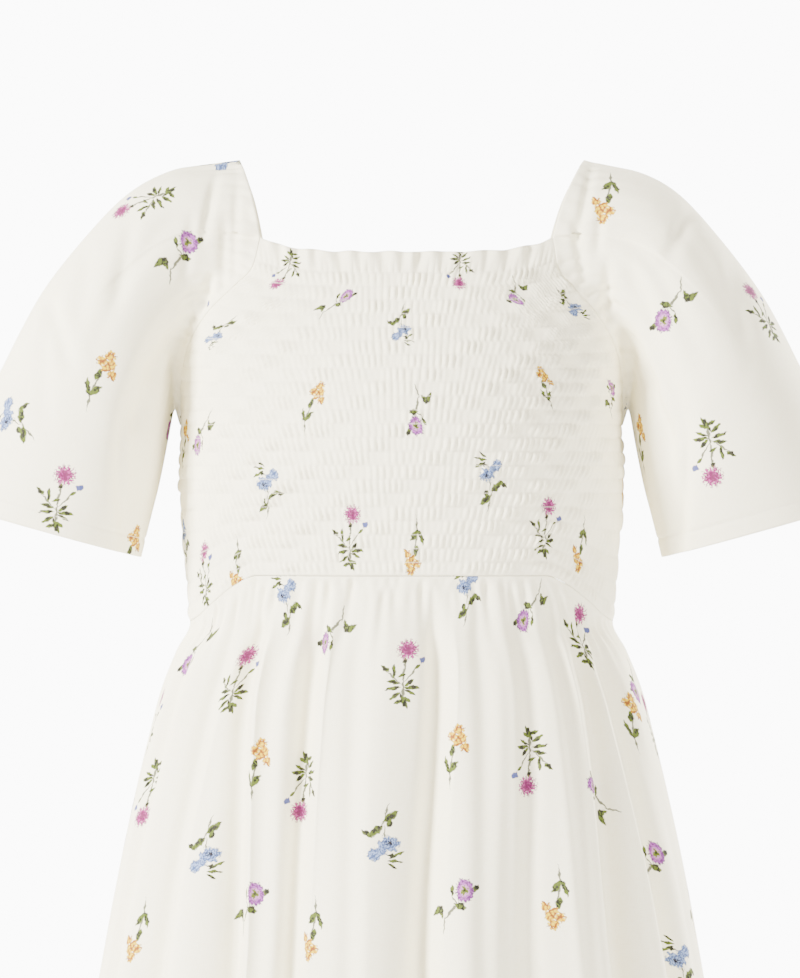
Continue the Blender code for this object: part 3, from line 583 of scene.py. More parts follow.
def ridges_above(x, row, seed):
    """Gathers of the frill's foot, fading upwards."""
    share = np.clip(row / HEADER_ROWS, 0.0, 1.0)
    band = np.zeros(np.shape(row), int) - 1
    return 1.5 * share**1.6 * gather_ridges(x, band, share, seed) - 0.45 * share**3


def turned_in(edge, beyond, inward, steps):
    """Rows past an edge: edge + beyond * step beyond + inward * step inwards."""
    return np.stack([edge + beyond * out + inward * deep for out, deep in steps])


def bodice_rows(fine):
    """The rows of the bodice's grid, in rows of the form: close together in the header, then even."""
    header = np.linspace(0, HEADER_ROWS, HEADER_FINE, endpoint=False)
    shirred = np.linspace(HEADER_ROWS, BODICE_ROWS, SHIRRED_ROWS * fine[1] + 1)
    return np.append(header, shirred)


def bodice_cloth(fine, front):
    """The shirred panel as one sheet, its frill turned in and its seams turned to the inside."""
    columns = fine[0]
    rows = bodice_rows(fine)
    across, row = np.meshgrid(np.linspace(-1, 1, columns + 1), rows)
    plain = bodice_surface(across, row, front)
    normals = bodice_normals(across, row, front)
    x = from_middle(arc(plain, 1))
    at_seams = ease((1 - np.abs(across)) * columns / 2 / 7.0)
    at_waist = ease((BODICE_ROWS - row) / 1.2)
    out = shirring(x, row, 1 if front else 2) * np.minimum(at_seams, at_waist)
    out = out + frill(across, row) + frill_pleats(x, row) * at_seams * (row < HEADER_ROWS)
    normals[..., 2] *= np.clip(row / HEADER_ROWS, 0, 1)
    points = plain + normals * out[..., None]
    lift = 0.7 * waves(x, 5, 14.0, 60.0, 7) * np.clip(1 - row / HEADER_ROWS, 0, 1) * at_seams
    points[..., 2] += lift
    return finish_bodice(points, plain, normals, rows, front)


def finish_bodice(points, plain, normals, rows, front):
    """Puts the panel's edges on its seams, half a gap away, and adds the turned cloth."""
    facing = -1.0 if front else 1.0
    armhole = rows <= ARMHOLE_ROWS
    inward = {}
    beyond = {}
    for side, edge in ((-1.0, 0), (1.0, -1)):
        _, mitre, away, _ = seam_frame(side, rows[armhole])
        count = int(armhole.sum())
        part = slice(0, count) if front else slice(None, -count - 1, -1)
        inward[edge] = np.tile([-side, 0.0, 0.0], (len(rows), 1))
        beyond[edge] = np.tile([0.0, -facing, 0.0], (len(rows), 1))
        inward[edge][armhole] = -mitre[part]
        beyond[edge][armhole] = -away[part]
        points[:, edge] = plain[:, edge] - beyond[edge] * GAP / 2
    points[-1, :, 2] += GAP / 2 * 1.5
    up = unit(points[0] - points[3])
    top = turned_in(points[0], up, -normals[0], HEM_TURN)
    low = turned_in(points[-1], np.array([0.0, 0.0, -1.0]), -normals[-1], SEAM_ALLOWANCE)
    points = np.concatenate([top[::-1], points, low])
    pads = (len(top), len(low))
    return with_seams(points, beyond, inward, pads)


def with_seams(points, beyond, inward, pads):
    """A sheet with columns of turned cloth beside its first and last column. The ways beyond each edge
    and inwards are given row by row, and so many rows at both ends repeat the nearest."""
    columns = {}
    for edge in (0, -1):
        out = np.pad(beyond[edge], (pads, (0, 0)), mode="edge")
        deep = np.pad(inward[edge], (pads, (0, 0)), mode="edge")
        columns[edge] = turned_in(points[:, edge], out, deep, SEAM_ALLOWANCE).transpose(1, 0, 2)
    return np.concatenate([columns[0][:, ::-1], points, columns[-1]], axis=1)


# Skirt


def waist_z(x):
    """Height of the waist seam."""
    return SHIRRING_TOP - SHIRRING_PITCH * SHIRRED_ROWS - smooth(np.abs(x), WAIST, 1)


def fold_tracks(folds, drop_share):
    """Angle of each fold at each share of the way down, with the side seams as ends."""
    places = np.array(folds, float)
    high = ring_angle(places[:, 0])
    low = ring_angle(places[:, 1])
    share = ease(np.asarray(drop_share, float) * SKIRT_LENGTH / FOLD_LOW_DROP)
    tracks = high + (low - high) * share[..., None]
    ends = np.full(tracks.shape[:-1] + (1,), np.pi / 2)
    return np.concatenate([-ends, tracks, ends], axis=-1)


def skirt_angles(at_waist, drop_share, folds):
    """Where each column has come to at a row: its place between two folds stays the same."""
    knots = fold_tracks(folds, 0.0)
    tracks = fold_tracks(folds, drop_share)
    angles = np.stack([np.interp(at_waist, knots, track) for track in tracks])
    return angles, tracks


def fold_push(angle, tracks, reach, drop, folds):
    """Along each fold a trough exp(-d^2) with a low bank exp(-(|d| - 2)^2) on both sides, d being the
    distance over the fold's half width."""
    push = np.zeros_like(reach)
    stops = (0.0, FOLD_HIGH_DROP, FOLD_LOW_DROP, SKIRT_LENGTH)
    for number, (_, _, high, low, hem, half_wide) in enumerate(folds):
        deep = np.interp(drop, stops, (0.0, high, low, hem))
        away = (angle - tracks[:, number + 1, None]) * reach / half_wide
        push = push - deep * bell(away) + BANK * deep * bell(np.abs(away) - 2.0)
    return push


def core_push(angle, tracks, reach, drop, cores):
    """The narrow core of each deep fold, and how far the bank at its one side slides over it."""
    push = np.zeros_like(reach)
    slide = np.zeros_like(reach)
    rise = ease((drop - 8.0) / 80.0)
    for number, deep, lean in cores:
        away = (angle - tracks[:, number + 1, None]) * reach / CORE_HALF_WIDE
        bank = bell(away + 1.2 * np.sign(lean))
        push = push - deep * rise * bell(away) + BANK * deep * rise * bank
        slide = slide + lean * rise * bank
    return push, slide


def skirt_form(at_waist, drop_share, front):
    """At each row a squared ellipse as wide and as deep as the body at its height, pushed in along the
    folds: the points, the way out from each, and how far down each row lies."""
    folds, cores = (FRONT_FOLDS, FRONT_CORES) if front else (BACK_FOLDS, BACK_CORES)
    depth_column, facing = (2, -1.0) if front else (3, 1.0)
    angle, tracks = skirt_angles(at_waist, drop_share, folds)
    share = drop_share[:, None]
    seam_z = waist_z(smooth(-381.0, BODY, 1) * ring_shares(at_waist)[0])[None, :]
    z = seam_z + (HEM_Z - seam_z) * share
    width = smooth(z, BODY, 1)
    depth = smooth(z, BODY, depth_column)
    share_x, share_y = ring_shares(angle)
    flat = np.zeros_like(width)
    normal = unit(stack(share_x / width, facing * share_y / depth, flat))
    sideways = stack(-facing * normal[..., 1], facing * normal[..., 0], flat)
    reach = np.hypot(width * np.cos(angle), depth * np.sin(angle))
    drop = share * SKIRT_LENGTH
    deeper, slide = core_push(angle, tracks, reach, drop, cores)
    push = fold_push(angle, tracks, reach, drop, folds) + deeper
    at_seams = 1 - bell((np.pi / 2 - np.abs(angle)) * reach / 14.0)
    points = stack(width * share_x, facing * depth * share_y, z)
    points = points + normal * (push * at_seams)[..., None] + sideways * (slide * at_seams)[..., None]
    return points, normal, drop


def waist_gathers(x, drop, half, seed, count):
    """Small troughs that start at the waist seam, each with its own place, length and depth. They
    widen and fade on the way down."""
    dice = np.random.default_rng(SEED + seed)
    push = np.zeros(np.broadcast(x, drop).shape)
    places = np.linspace(-half + 8, half - 8, count) + dice.uniform(-3.5, 3.5, count)
    lengths = dice.uniform(30.0, 90.0, count) * np.where(dice.uniform(size=count) > 0.62, 2.4, 1.0)
    depths = dice.uniform(1.6, 4.6, count)
    leans = dice.uniform(-0.05, 0.05, count)
    starts = dice.uniform(4.0, 16.0, count)
    for place, length, deep, lean, start in zip(places, lengths, depths, leans, starts):
        wide = 3.0 + 0.045 * drop
        away = (x - place * (1 + 0.0006 * drop) - lean * drop) / wide
        along = ease((drop - start + 8.0) / 14.0) * np.exp(-((drop / length) ** 1.6))
        push = push - deep * along * bell(away)
    return push


def skirt_cloth(fine, front):
    """The gathered skirt panel as one sheet, from the waist seam to the turned hem."""
    columns, rows = fine
    at_waist = np.linspace(-1, 1, columns + 1) * np.pi / 2
    drop_share = np.linspace(0, 1, rows + 1) ** 1.35
    points, normal, drop = skirt_form(at_waist, drop_share, front)
    seam = bodice_surface(at_waist / (np.pi / 2), BODICE_ROWS, front)
    seam[:, 2] -= GAP / 2 * 1.5
    points = points + (seam - points[0]) * (1 - ease(drop / 14.0))[..., None]
    x = from_middle(arc(points, 1))
    half = x[0, -1]
    place = x / x[:, -1:] * half
    push = waist_gathers(place, drop, half, 11 if front else 12, WAIST_GATHERS)
    small = waist_gathers(place, SMALL_SHORTER * drop, half, 21 if front else 22, SMALL_WAIST_GATHERS)
    push += SMALL_SHARE * small
    at_ends = ease((np.pi / 2 - np.abs(at_waist)) / 0.05)
    soft = 0.9 * waves(place, 4, 26.0, 70.0, 14) * bell(drop / 420.0) * ease(drop / 30.0)
    points = points + normal * ((push + soft) * at_ends)[..., None]
    facing = -1.0 if front else 1.0
    points[:, [0, -1], 1] += facing * GAP / 2
    return finish_skirt(points, normal, facing)


def finish_skirt(points, normal, facing):
    """Adds the cloth turned in at the waist, at the hem and at both side seams."""
    down = unit(points[-1] - points[-3])
    top = turned_in(points[0], np.array([0.0, 0.0, 1.0]), -normal[0], SEAM_ALLOWANCE)
    low = turned_in(points[-1], down, -normal[-1], HEM_TURN)
    points = np.concatenate([top[::-1], points, low])
    beyond = np.tile([0.0, -facing, 0.0], (len(points), 1))
    inward = np.tile([1.0, 0.0, 0.0], (len(points), 1))
    return with_seams(points, {0: beyond, -1: beyond}, {0: inward, -1: -inward}, (0, 0))


# Sleeves


def by_length(points, shares):
    """Points at shares of the length of a line given by its corners."""
    points = np.asarray(points, float)
    lengths = np.linalg.norm(np.diff(points, axis=0), axis=1)
    reached = np.append(0.0, np.cumsum(lengths))
    reached = reached / reached[-1]
    table = np.column_stack([reached, points])
    return np.stack([smooth(shares, table, 1 + axis) for axis in range(points.shape[1])], axis=-1)


def sleeve_start(side, name, columns):
    """The closed start of a sleeve: the raglan loop, then the neck edge back to the front corner."""
    rows = np.linspace(0, ARMHOLE_ROWS, int(columns * SEAM_SHARE))
    seam, mitre, away, way = seam_frame(side, rows)
    corner_x = np.abs(seam[-1, 0] + seam[0, 0]) / 2
    edge = np.array(NECK_EDGE)[::-1]
    neck_x = side * (corner_x + (SHOULDER_TOP_X[name] - corner_x) * edge[:, 0])
    corners = stack(neck_x, edge[:, 1], edge[:, 2])
    corners[0] = seam[-1]
    corners[-1] = seam[0]
    neck = by_length(corners, np.linspace(0, 1, columns - len(seam) + 2))[1:-1]
    return seam, mitre, away, way, neck


def sleeve_ring(angle, share, side, name):
    """A ring between the sleeve's outer and inner outline: their middle plus a squared ellipse."""
    outer_line = ((SHOULDER_TOP_X[name], 0.0),) + SLEEVE_OUTER
    outer = by_length(outer_line, share)
    inner = by_length(SLEEVE_INNER, share)
    middle = (outer + inner) / 2
    half = (outer - inner) / 2
    size = np.abs(np.cos(angle)) ** SLEEVE_POWER + np.abs(np.sin(angle)) ** SLEEVE_POWER
    size = size ** (1 / SLEEVE_POWER)
    up = np.cos(angle) / size
    ahead = np.sin(angle) / size
    column = np.where(ahead < 0, smooth(share, SLEEVE_DEPTH, 1), smooth(share, SLEEVE_DEPTH, 2))
    x = middle[..., 0] + half[..., 0] * up
    z = middle[..., 1] + half[..., 1] * up
    y = smooth(share, SLEEVE_DEPTH, 3) + ahead * column
    return stack(side * x, y, z)


def loop_angles(start, under, top):
    """Angle of each point of the start: pi at the underarm, 0 at the shoulder, by length between."""
    lengths = np.linalg.norm(np.diff(np.concatenate([start, start[:1]]), axis=0), axis=1)
    reached = np.append(0.0, np.cumsum(lengths))[:-1]
    total = lengths.sum()
    first_half = (reached[top] - reached[under]) / np.pi
    second_half = (total - reached[top] + reached[under]) / np.pi
    behind = np.pi - (reached - reached[under]) / first_half
    ahead = -np.pi + (reached[under] - reached) / second_half
    past_top = -(reached - reached[top]) / second_half
    number = np.arange(len(start))
    return np.where(number < under, ahead, np.where(number <= top, behind, past_top)), reached


def grid_normals(points, side):
    """Cross product of the neighbours around and down a closed grid, turned outwards."""
    around = np.roll(points, -1, axis=1) - np.roll(points, 1, axis=1)
    return unit(np.cross(around, differences(points))) * side


def sleeve_creases(angle, share, creases):
    """Troughs exp(-d^2) along the table's lines, each rising and falling with a sine of its length."""
    push = np.zeros(np.broadcast(angle, share).shape)
    for high, low, start, end, deep, half_wide in creases:
        middle = high + (low - high) * ease((share - start) / (end - start))
        away = (angle - middle * np.pi) * SLEEVE_RADIUS / half_wide
        along = np.sin(np.pi * np.clip((share - start) / (end - start), 0.0, 1.0)) ** 0.8
        push += deep * along * bell(away)
    return push


def seen_creases(points, normals, table):
    """Troughs exp(-d^2) along straight lines drawn as the photograph shows them, d being the
    distance from the line over the half width, on the cloth that faces ahead. Each one fades past
    its ends."""
    push = np.zeros(points.shape[:2])
    for from_x, from_z, to_x, to_z, deep, half_wide in table:
        long = np.hypot(to_x - from_x, to_z - from_z)
        right, up = (to_x - from_x) / long, (to_z - from_z) / long
        x = points[..., 0] - from_x
        z = points[..., 2] - from_z
        along = (x * right + z * up) / long
        away = (x * up - z * right) / half_wide
        push += SEEN_CREASE_FACTOR * deep * bell(away) * np.exp(-((2 * (along - 0.5)) ** 4) / 1.5)
    return push * ease(-normals[..., 1] / 0.4)


def rounded(points, columns):
    """Each row smoothed round its loop by a bell curve as wide as so many columns."""
    turns = np.fft.rfftfreq(points.shape[1])
    weight = np.exp(-2 * (np.pi * turns * columns) ** 2)
    waves_round = np.fft.rfft(points, axis=1) * weight[None, :, None]
    return np.fft.irfft(waves_round, points.shape[1], axis=1)


def sleeve_gathers(reached, total, down, seed):
    """Small gathers along the armhole and neck edge, each with its own length, widening downwards."""
    dice = np.random.default_rng(SEED + seed)
    count = SLEEVE_GATHERS
    push = np.zeros(np.broadcast(reached, down).shape)
    places = (np.arange(count) + dice.uniform(-0.3, 0.3, count)) / count * total
    lengths = dice.uniform(18.0, 70.0, count)
    depths = dice.uniform(0.9, 3.0, count)
    for place, length, deep in zip(places, lengths, depths):
        round_way = (reached - place + total / 2) % total - total / 2
        away = round_way / (2.8 + 0.06 * down)
        along = ease(down / 7.0) * np.exp(-((down / length) ** 1.6))
        push += deep * along * bell(away)
    return push


def sleeve_form(start, angle, seam_way, rows, side, name):
    """The plain puff. It leaves its start by reach * (1 - exp(-way / reach)), along the sleeve's own
    way at the seam, and passes into the rings."""
    share = (np.linspace(0, 1, rows + 1) ** 1.15)[:, None]
    ring = sleeve_ring(angle[None, :], share + 0 * angle[None, :], side, name)
    early = sleeve_ring(angle, np.full(len(angle), EARLY_RING), side, name)
    way = unit(early - start)
    way[: len(seam_way)] = seam_way
    over = 1 + np.cos(angle)
    run = UNDER_LENGTH + (OVER_LENGTH - UNDER_LENGTH) * over / 2
    reach = UNDER_REACH + OVER_REACH * ease(over / 1.2)
    step = reach * (1 - np.exp(-run * share / reach))
    leave = start + way * step[..., None]
    at_corners = ease(share / 0.10) * (1 - np.exp(-((angle / 0.9) ** 4)))
    leave = leave + (rounded(leave, CORNER_ROUNDING) - leave) * at_corners[..., None]
    mix = ease(share / SLEEVE_BLEND)[..., None]
    return leave * (1 - mix) + ring * mix, share


def sleeve_cloth(fine, side, name):
    """The puffed sleeve with its creases and gathers, its hem and neck edge turned in."""
    columns, rows = fine
    seam, mitre, away, seam_way, neck = sleeve_start(side, name, columns)
    count = len(seam)
    start = np.concatenate([seam, neck])
    angle, reached = loop_angles(start, count // 2, count + len(neck) // 2)
    points, share = sleeve_form(start, angle, seam_way, rows, side, name)
    down = arc(points, 0)
    normals = grid_normals(points, side)
    push = sleeve_creases(angle, share, CREASES[name])
    push = push + sleeve_gathers(reached, reached[-1] + 2.0, down, 21 if name == "left" else 22)
    push = push + seen_creases(points, normals, SEEN_CREASES[name]) * ease(down / 8.0)
    push = push + HEM_RIDGE * bell((down[-1] - down - HEM_STITCH / MM) / HEM_RIDGE_WIDE)
    points = points - normals * push[..., None]
    points[0, :count] = seam - away * GAP / 2
    normals = grid_normals(points, side)
    inward = -normals[0]
    inward[:count] = -mitre
    top = turned_in(points[0], unit(points[0] - points[2]), inward, HEM_TURN)
    top[:, :count] = turned_in(points[0, :count], away, inward[:count], SEAM_ALLOWANCE)
    low = turned_in(points[-1], unit(points[-1] - points[-3]), -normals[-1], HEM_TURN)
    return np.concatenate([top[::-1], points, low])


# Meshes


class Sheet:
    """A grid of cloth points with its quads, its outward normals and its lengths across and down."""

    def __init__(self, name, points, closed, flip):
        self.name = name
        self.points = points
        self.flip = flip
        self.grid = np.concatenate([points, points[:, :1]], axis=1) if closed else points
        rows, columns = points.shape[:2]
        last = columns if closed else columns - 1
        row, column = np.meshgrid(np.arange(rows - 1), np.arange(last), indexing="ij")
        self.rows = np.stack([row, row, row + 1, row + 1], axis=-1).reshape(-1, 4)
        self.columns = np.stack([column, column + 1, column + 1, column], axis=-1).reshape(-1, 4)
        if flip:
            self.rows = self.rows[:, ::-1]
            self.columns = self.columns[:, ::-1]
        across = np.gradient(self.grid, axis=1)
        down = np.gradient(self.grid, axis=0)
        self.normals = unit(np.cross(across, down) + 1e-9) * (-1.0 if flip else 1.0)
        self.across = from_middle(arc(self.grid, 1))
        self.down = arc(self.grid, 0)

    def object(self):
        """The mesh, one quad between each four neighbours."""
        rows, columns = self.points.shape[:2]
        faces = self.rows * columns + self.columns % columns
        mesh = bpy.data.meshes.new(self.name)
        mesh.vertices.add(rows * columns)
        mesh.vertices.foreach_set("co", (self.points * MM).astype(np.float32).ravel())
        mesh.loops.add(faces.size)
        mesh.loops.foreach_set("vertex_index", faces.astype(np.int32).ravel())
        mesh.polygons.add(len(faces))
        mesh.polygons.foreach_set("loop_start", np.arange(0, faces.size, 4, dtype=np.int32))
        mesh.polygons.foreach_set("use_smooth", np.ones(len(faces), bool))
        mesh.update(calc_edges=True)
        piece = bpy.data.objects.new(self.name, mesh)
        bpy.context.scene.collection.objects.link(piece)
        return piece

    def lay_map(self, mesh, name, values):
        """A map with one pair of values at each corner of each quad."""
        layer = mesh.uv_layers.new(name=name)
        layer.data.foreach_set("uv", values.astype(np.float32).ravel())

    def at_corners(self, first, second):
        """Two values of every point, given at the corners of every quad."""
        values = np.stack([first, second], axis=-1)
        return values[self.rows, self.columns]

    def on_a_plane(self, row, column):
        """Places beside a spot, seen straight on: x and y in the plane that touches the cloth there."""
        out = self.normals[row, column]
        up = unit(np.array([0.0, 0.0, 1.0]) - out * out[2])
        right = np.cross(up, out)
        away = self.grid - self.grid[row, column]
        unseen = self.normals @ out < 0.2
        return np.where(unseen, 999.0, away @ right), away @ up

    def along_the_cloth(self, row, column):
        """Places beside a spot, measured along the cloth's own rows and columns."""
        mirror = 1.0 if self.flip else -1.0
        x = (self.across - self.across[:, column][:, None]) * mirror
        return x, self.down[row][None, :] - self.down


# Print


def seen_spot(sheet, x, z):
    """The row and column of the point that lies nearest a place in the photograph."""
    away = np.hypot(sheet.grid[..., 0] - x, sheet.grid[..., 2] - z)
    away = np.where(sheet.normals[..., 1] < -0.05, away, 1e6)
    return np.unravel_index(np.argmin(away), away.shape)


def is_hidden(name, point, normal):
    """Whether a spot is out of the photograph: on the back, beside the outline, or under its edge."""
    if name == "gathered_skirt_front":
        beside = normal[1] > -0.3 and point[1] > -75.0
        return beside or point[2] < PHOTO_BOTTOM_Z - 15.0
    return name.endswith("back") or (name != "shirred_front" and normal[1] > 0.1)


def hidden_spots(sheet, seen):
    """The flowers of the repeat, wherever they fall on a part that the photograph doesn't show and
    clear of the flowers that it does show."""
    taken = np.array([sheet.grid[row, column] for _, row, column, _ in seen] or [[0.0, 0.0, 900.0]])
    wide, tall = REPEAT_SIZE
    spots = []
    for start_x in np.arange(-4, 5) * wide + REPEAT_START[0]:
        for start_y in np.arange(0, 4) * tall + REPEAT_START[1]:
            for number, (kind, turn) in enumerate(REPEAT):
                x = number * REPEAT_STEP[0] % wide
                y = number * REPEAT_STEP[1]
                away = np.hypot(sheet.across - start_x - x, sheet.down - start_y + y)
                row, column = np.unravel_index(np.argmin(away), away.shape)
                hidden = is_hidden(sheet.name, sheet.grid[row, column], sheet.normals[row, column])
                room = np.linalg.norm(taken - sheet.grid[row, column], axis=1).min()
                if away[row, column] < REPEAT_MISS and hidden and room > FLOWER_ROOM:
                    spots.append((kind, row, column, turn))
    return spots


def squeeze(name, z):
    """How wide and tall a flower looks where the cloth is gathered, as shares of its flat size:
    least at the neck and at the waist seam, easing to the full size away from them."""
    if name.startswith("shirred"):
        down = ease((-z - 150.0) / 120.0)
        return 0.66 + 0.14 * down, 0.72 + 0.24 * down
    if name.startswith("gathered"):
        return 0.52 + 0.48 * ease((-z - 365.0) / 95.0), 1.0
    return 1.0, 1.0


def print_places(sheet):
    """For each corner, its place on the flower that covers it, in units of 10 mm. The four flowers
    lie 20 units apart, and cloth without a flower lies far from them all."""
    spots = [(kind, *seen_spot(sheet, x, z), turn) for kind, x, z, turn in SPRIGS.get(sheet.name, ())]
    spots += hidden_spots(sheet, spots)
    places = np.full(sheet.rows.shape + (2,), -50.0)
    nearest = np.ones(len(sheet.rows))
    for kind, row, column, turn in spots:
        sleeve = sheet.name.startswith("puff")
        x, y = sheet.on_a_plane(row, column) if sleeve else sheet.along_the_cloth(row, column)
        wide, tall = squeeze(sheet.name, sheet.grid[row, column, 2])
        x = x / wide
        y = y / tall
        turn = np.radians(turn)
        u = (x * np.cos(turn) + y * np.sin(turn)) / FLOWER_UNIT
        v = (y * np.cos(turn) - x * np.sin(turn)) / FLOWER_UNIT
        away = np.hypot(u / FLOWER_REACH[0], (v - 0.1) / FLOWER_REACH[1])
        face_away = away[sheet.rows, sheet.columns].max(axis=1)
        nearer = face_away < nearest
        corners = sheet.at_corners(u + FLOWER_STEP * KINDS.index(kind), v)
        places[nearer] = corners[nearer]
        nearest[nearer] = face_away[nearer]
    return places


# Materials


def new_group(name, inputs, outputs):
    """A node group with its inputs and outputs, each given as a name and a kind."""
    group = bpy.data.node_groups.new(name, "ShaderNodeTree")
    for label, kind in inputs:
        group.interface.new_socket(name=label, in_out="INPUT", socket_type="NodeSocket" + kind)
    for label, kind in outputs:
        group.interface.new_socket(name=label, in_out="OUTPUT", socket_type="NodeSocket" + kind)
    start = group.nodes.new("NodeGroupInput")
    end = group.nodes.new("NodeGroupOutput")
    return group, start, end


def join(tree, value, socket):
    """Links a socket to another, or sets it to a plain value."""
    if isinstance(value, bpy.types.NodeSocket):
        tree.links.new(value, socket)
    else:
        socket.default_value = value


def maths(tree, operation, *values):
    """One maths node."""
    node = tree.nodes.new("ShaderNodeMath")
    node.operation = operation
    for value, socket in zip(values, node.inputs):
        join(tree, value, socket)
    return node.outputs["Value"]


def vector_maths(tree, operation, *values):
    """One vector maths node."""
    node = tree.nodes.new("ShaderNodeVectorMath")
    node.operation = operation
    for value, socket in zip(values, node.inputs):
        join(tree, value, socket)
    return node.outputs["Value" if operation == "LENGTH" else "Vector"]


def between(tree, value, low, high):
    """0 where the value is at low, 1 where it is at high, easing between."""
    node = tree.nodes.new("ShaderNodeMapRange")
    node.interpolation_type = "SMOOTHSTEP"
    join(tree, value, node.inputs["Value"])
    node.inputs["From Min"].default_value = low
    node.inputs["From Max"].default_value = high
    return node.outputs["Result"]


def blend(tree, share, one, other):
    """A colour mixed from one to the other by a share."""
    node = tree.nodes.new("ShaderNodeMix")
    node.data_type = "RGBA"
    join(tree, share, node.inputs[0])
    join(tree, one, node.inputs[6])
    join(tree, other, node.inputs[7])
    return node.outputs[2]


def fade(tree, value, low, high, one, other):
    """One colour where the value is at low, and the other where it is at high."""
    return blend(tree, between(tree, value, low, high), one, other)


def noise(tree, point, scale, detail, output="Fac"):
    """Flat noise at a point."""
    node = tree.nodes.new("ShaderNodeTexNoise")
    node.noise_dimensions = "2D"
    join(tree, point, node.inputs["Vector"])
    node.inputs["Scale"].default_value = scale
    node.inputs["Detail"].default_value = detail
    return node.outputs[output]


def placed(tree, point, x, y, turn, long, wide):
    """The point as seen from a mark's own middle, along and across it, in half lengths."""
    node = tree.nodes.new("ShaderNodeMapping")
    node.vector_type = "TEXTURE"
    join(tree, point, node.inputs["Vector"])
    node.inputs["Location"].default_value = (x, y, 0.0)
    node.inputs["Rotation"].default_value = (0.0, 0.0, turn)
    node.inputs["Scale"].default_value = (long, wide, 1.0)
    return node.outputs["Vector"]


def split(tree, point):
    """The x and y of a point."""
    node = tree.nodes.new("ShaderNodeSeparateXYZ")
    join(tree, point, node.inputs["Vector"])
    return node.outputs["X"], node.outputs["Y"]


def use_group(tree, group, **inputs):
    """The outputs of a node group, its inputs given by name."""
    node = tree.nodes.new("ShaderNodeGroup")
    node.node_tree = group
    for label, value in inputs.items():
        join(tree, value, node.inputs[label])
    return node.outputs


def make_leaf_group():
    """A pointed leaf from -1 to 1: across + along squared is under 1 inside it."""
    group, start, end = new_group("leaf_shape", [("Point", "Vector")], [("Distance", "Float")])
    along, across = split(group, start.outputs["Point"])
    square = maths(group, "MULTIPLY", along, along)
    total = maths(group, "ADD", maths(group, "ABSOLUTE", across), square)
    group.links.new(total, end.inputs["Distance"])
    return group


def nearest_leaf(tree, leaf, point, table):
    """The smallest leaf distance over the marks of a table."""
    nearest = None
    for from_x, from_y, to_x, to_y, half_wide in table:
        turn = float(np.arctan2(to_y - from_y, to_x - from_x))
        long = float(np.hypot(to_x - from_x, to_y - from_y)) / 2
        spot = placed(tree, point, (from_x + to_x) / 2, (from_y + to_y) / 2, turn, long, half_wide)
        distance = use_group(tree, leaf, Point=spot)["Distance"]
        nearest = distance if nearest is None else maths(tree, "MINIMUM", nearest, distance)
    return nearest


def nearest_round(tree, point, table):
    """The smallest distance over the middles of a table of ovals, in their own half widths."""
    nearest = None
    for x, y, half_wide, half_tall in table:
        spot = placed(tree, point, x, y, 0.0, half_wide, half_tall)
        distance = vector_maths(tree, "LENGTH", spot)
        nearest = distance if nearest is None else maths(tree, "MINIMUM", nearest, distance)
    return nearest


def greenery(tree, leaf, point, leaves, stems, grain):
    """Leaves and stems in watercolour: their colour and how much ink lies there."""
    leaf_ink = between(tree, nearest_leaf(tree, leaf, point, leaves), 1.55, 1.05)
    stem_ink = between(tree, nearest_leaf(tree, leaf, point, stems), 1.8, 0.8)
    green = fade(tree, grain, 0.42, 0.54, INK_AND_SHADE["leaf_dark"], INK_AND_SHADE["leaf_pale"])
    green = blend(tree, leaf_ink, INK_AND_SHADE["stem"], green)
    return green, maths(tree, "MAXIMUM", leaf_ink, maths(tree, "MULTIPLY", stem_ink, 0.9))


def pink_head(tree, point, blotch, ragged):
    """A ragged round head: its edge runs in and out with the sine of the angle, 13 times round."""
    x, y, half_wide, half_tall = PINK_HEAD
    spot = placed(tree, point, x, y, 0.0, half_wide, half_tall)
    x, y = split(tree, spot)
    bend = maths(tree, "MULTIPLY", ragged, 5.0)
    angle = maths(tree, "MULTIPLY_ADD", maths(tree, "ARCTAN2", y, x), 6.5, bend)
    tips = maths(tree, "ABSOLUTE", maths(tree, "SINE", angle))
    rim = maths(tree, "MULTIPLY_ADD", tips, 0.55, 0.55)
    distance = maths(tree, "DIVIDE", vector_maths(tree, "LENGTH", spot), rim)
    depth = maths(tree, "SUBTRACT", maths(tree, "MULTIPLY_ADD", ragged, 2.4, -0.35), distance)
    petals = fade(tree, depth, -0.15, 0.55, INK_AND_SHADE["pink_pale"], INK_AND_SHADE["pink_dark"])
    bud = between(tree, nearest_round(tree, point, PINK_BUD), 1.15, 0.8)
    petals = blend(tree, bud, petals, INK_AND_SHADE["bud"])
    return petals, maths(tree, "MAXIMUM", between(tree, distance, 1.1, 0.8), bud)


def lilac_head(tree, point, blotch, ragged):
    """An oval ring: a dark dot, a green eye, a pale ring and a lilac rim, by distance outwards."""
    x, y, half_wide, half_tall = LILAC_HEAD
    distance = vector_maths(tree, "LENGTH", placed(tree, point, x, y, 0.15, half_wide, half_tall))
    distance = maths(tree, "ADD", distance, maths(tree, "MULTIPLY_ADD", ragged, 0.5, -0.25))
    lilac = fade(tree, ragged, 0.42, 0.58, INK_AND_SHADE["lilac_dark"], INK_AND_SHADE["lilac_pale"])
    petals = fade(tree, distance, 0.42, 0.56, INK_AND_SHADE["lilac_white"], lilac)
    petals = fade(tree, distance, 0.42, 0.30, petals, INK_AND_SHADE["eye"])
    petals = fade(tree, distance, 0.16, 0.08, petals, INK_AND_SHADE["leaf_dark"])
    return petals, between(tree, distance, 1.06, 0.90)


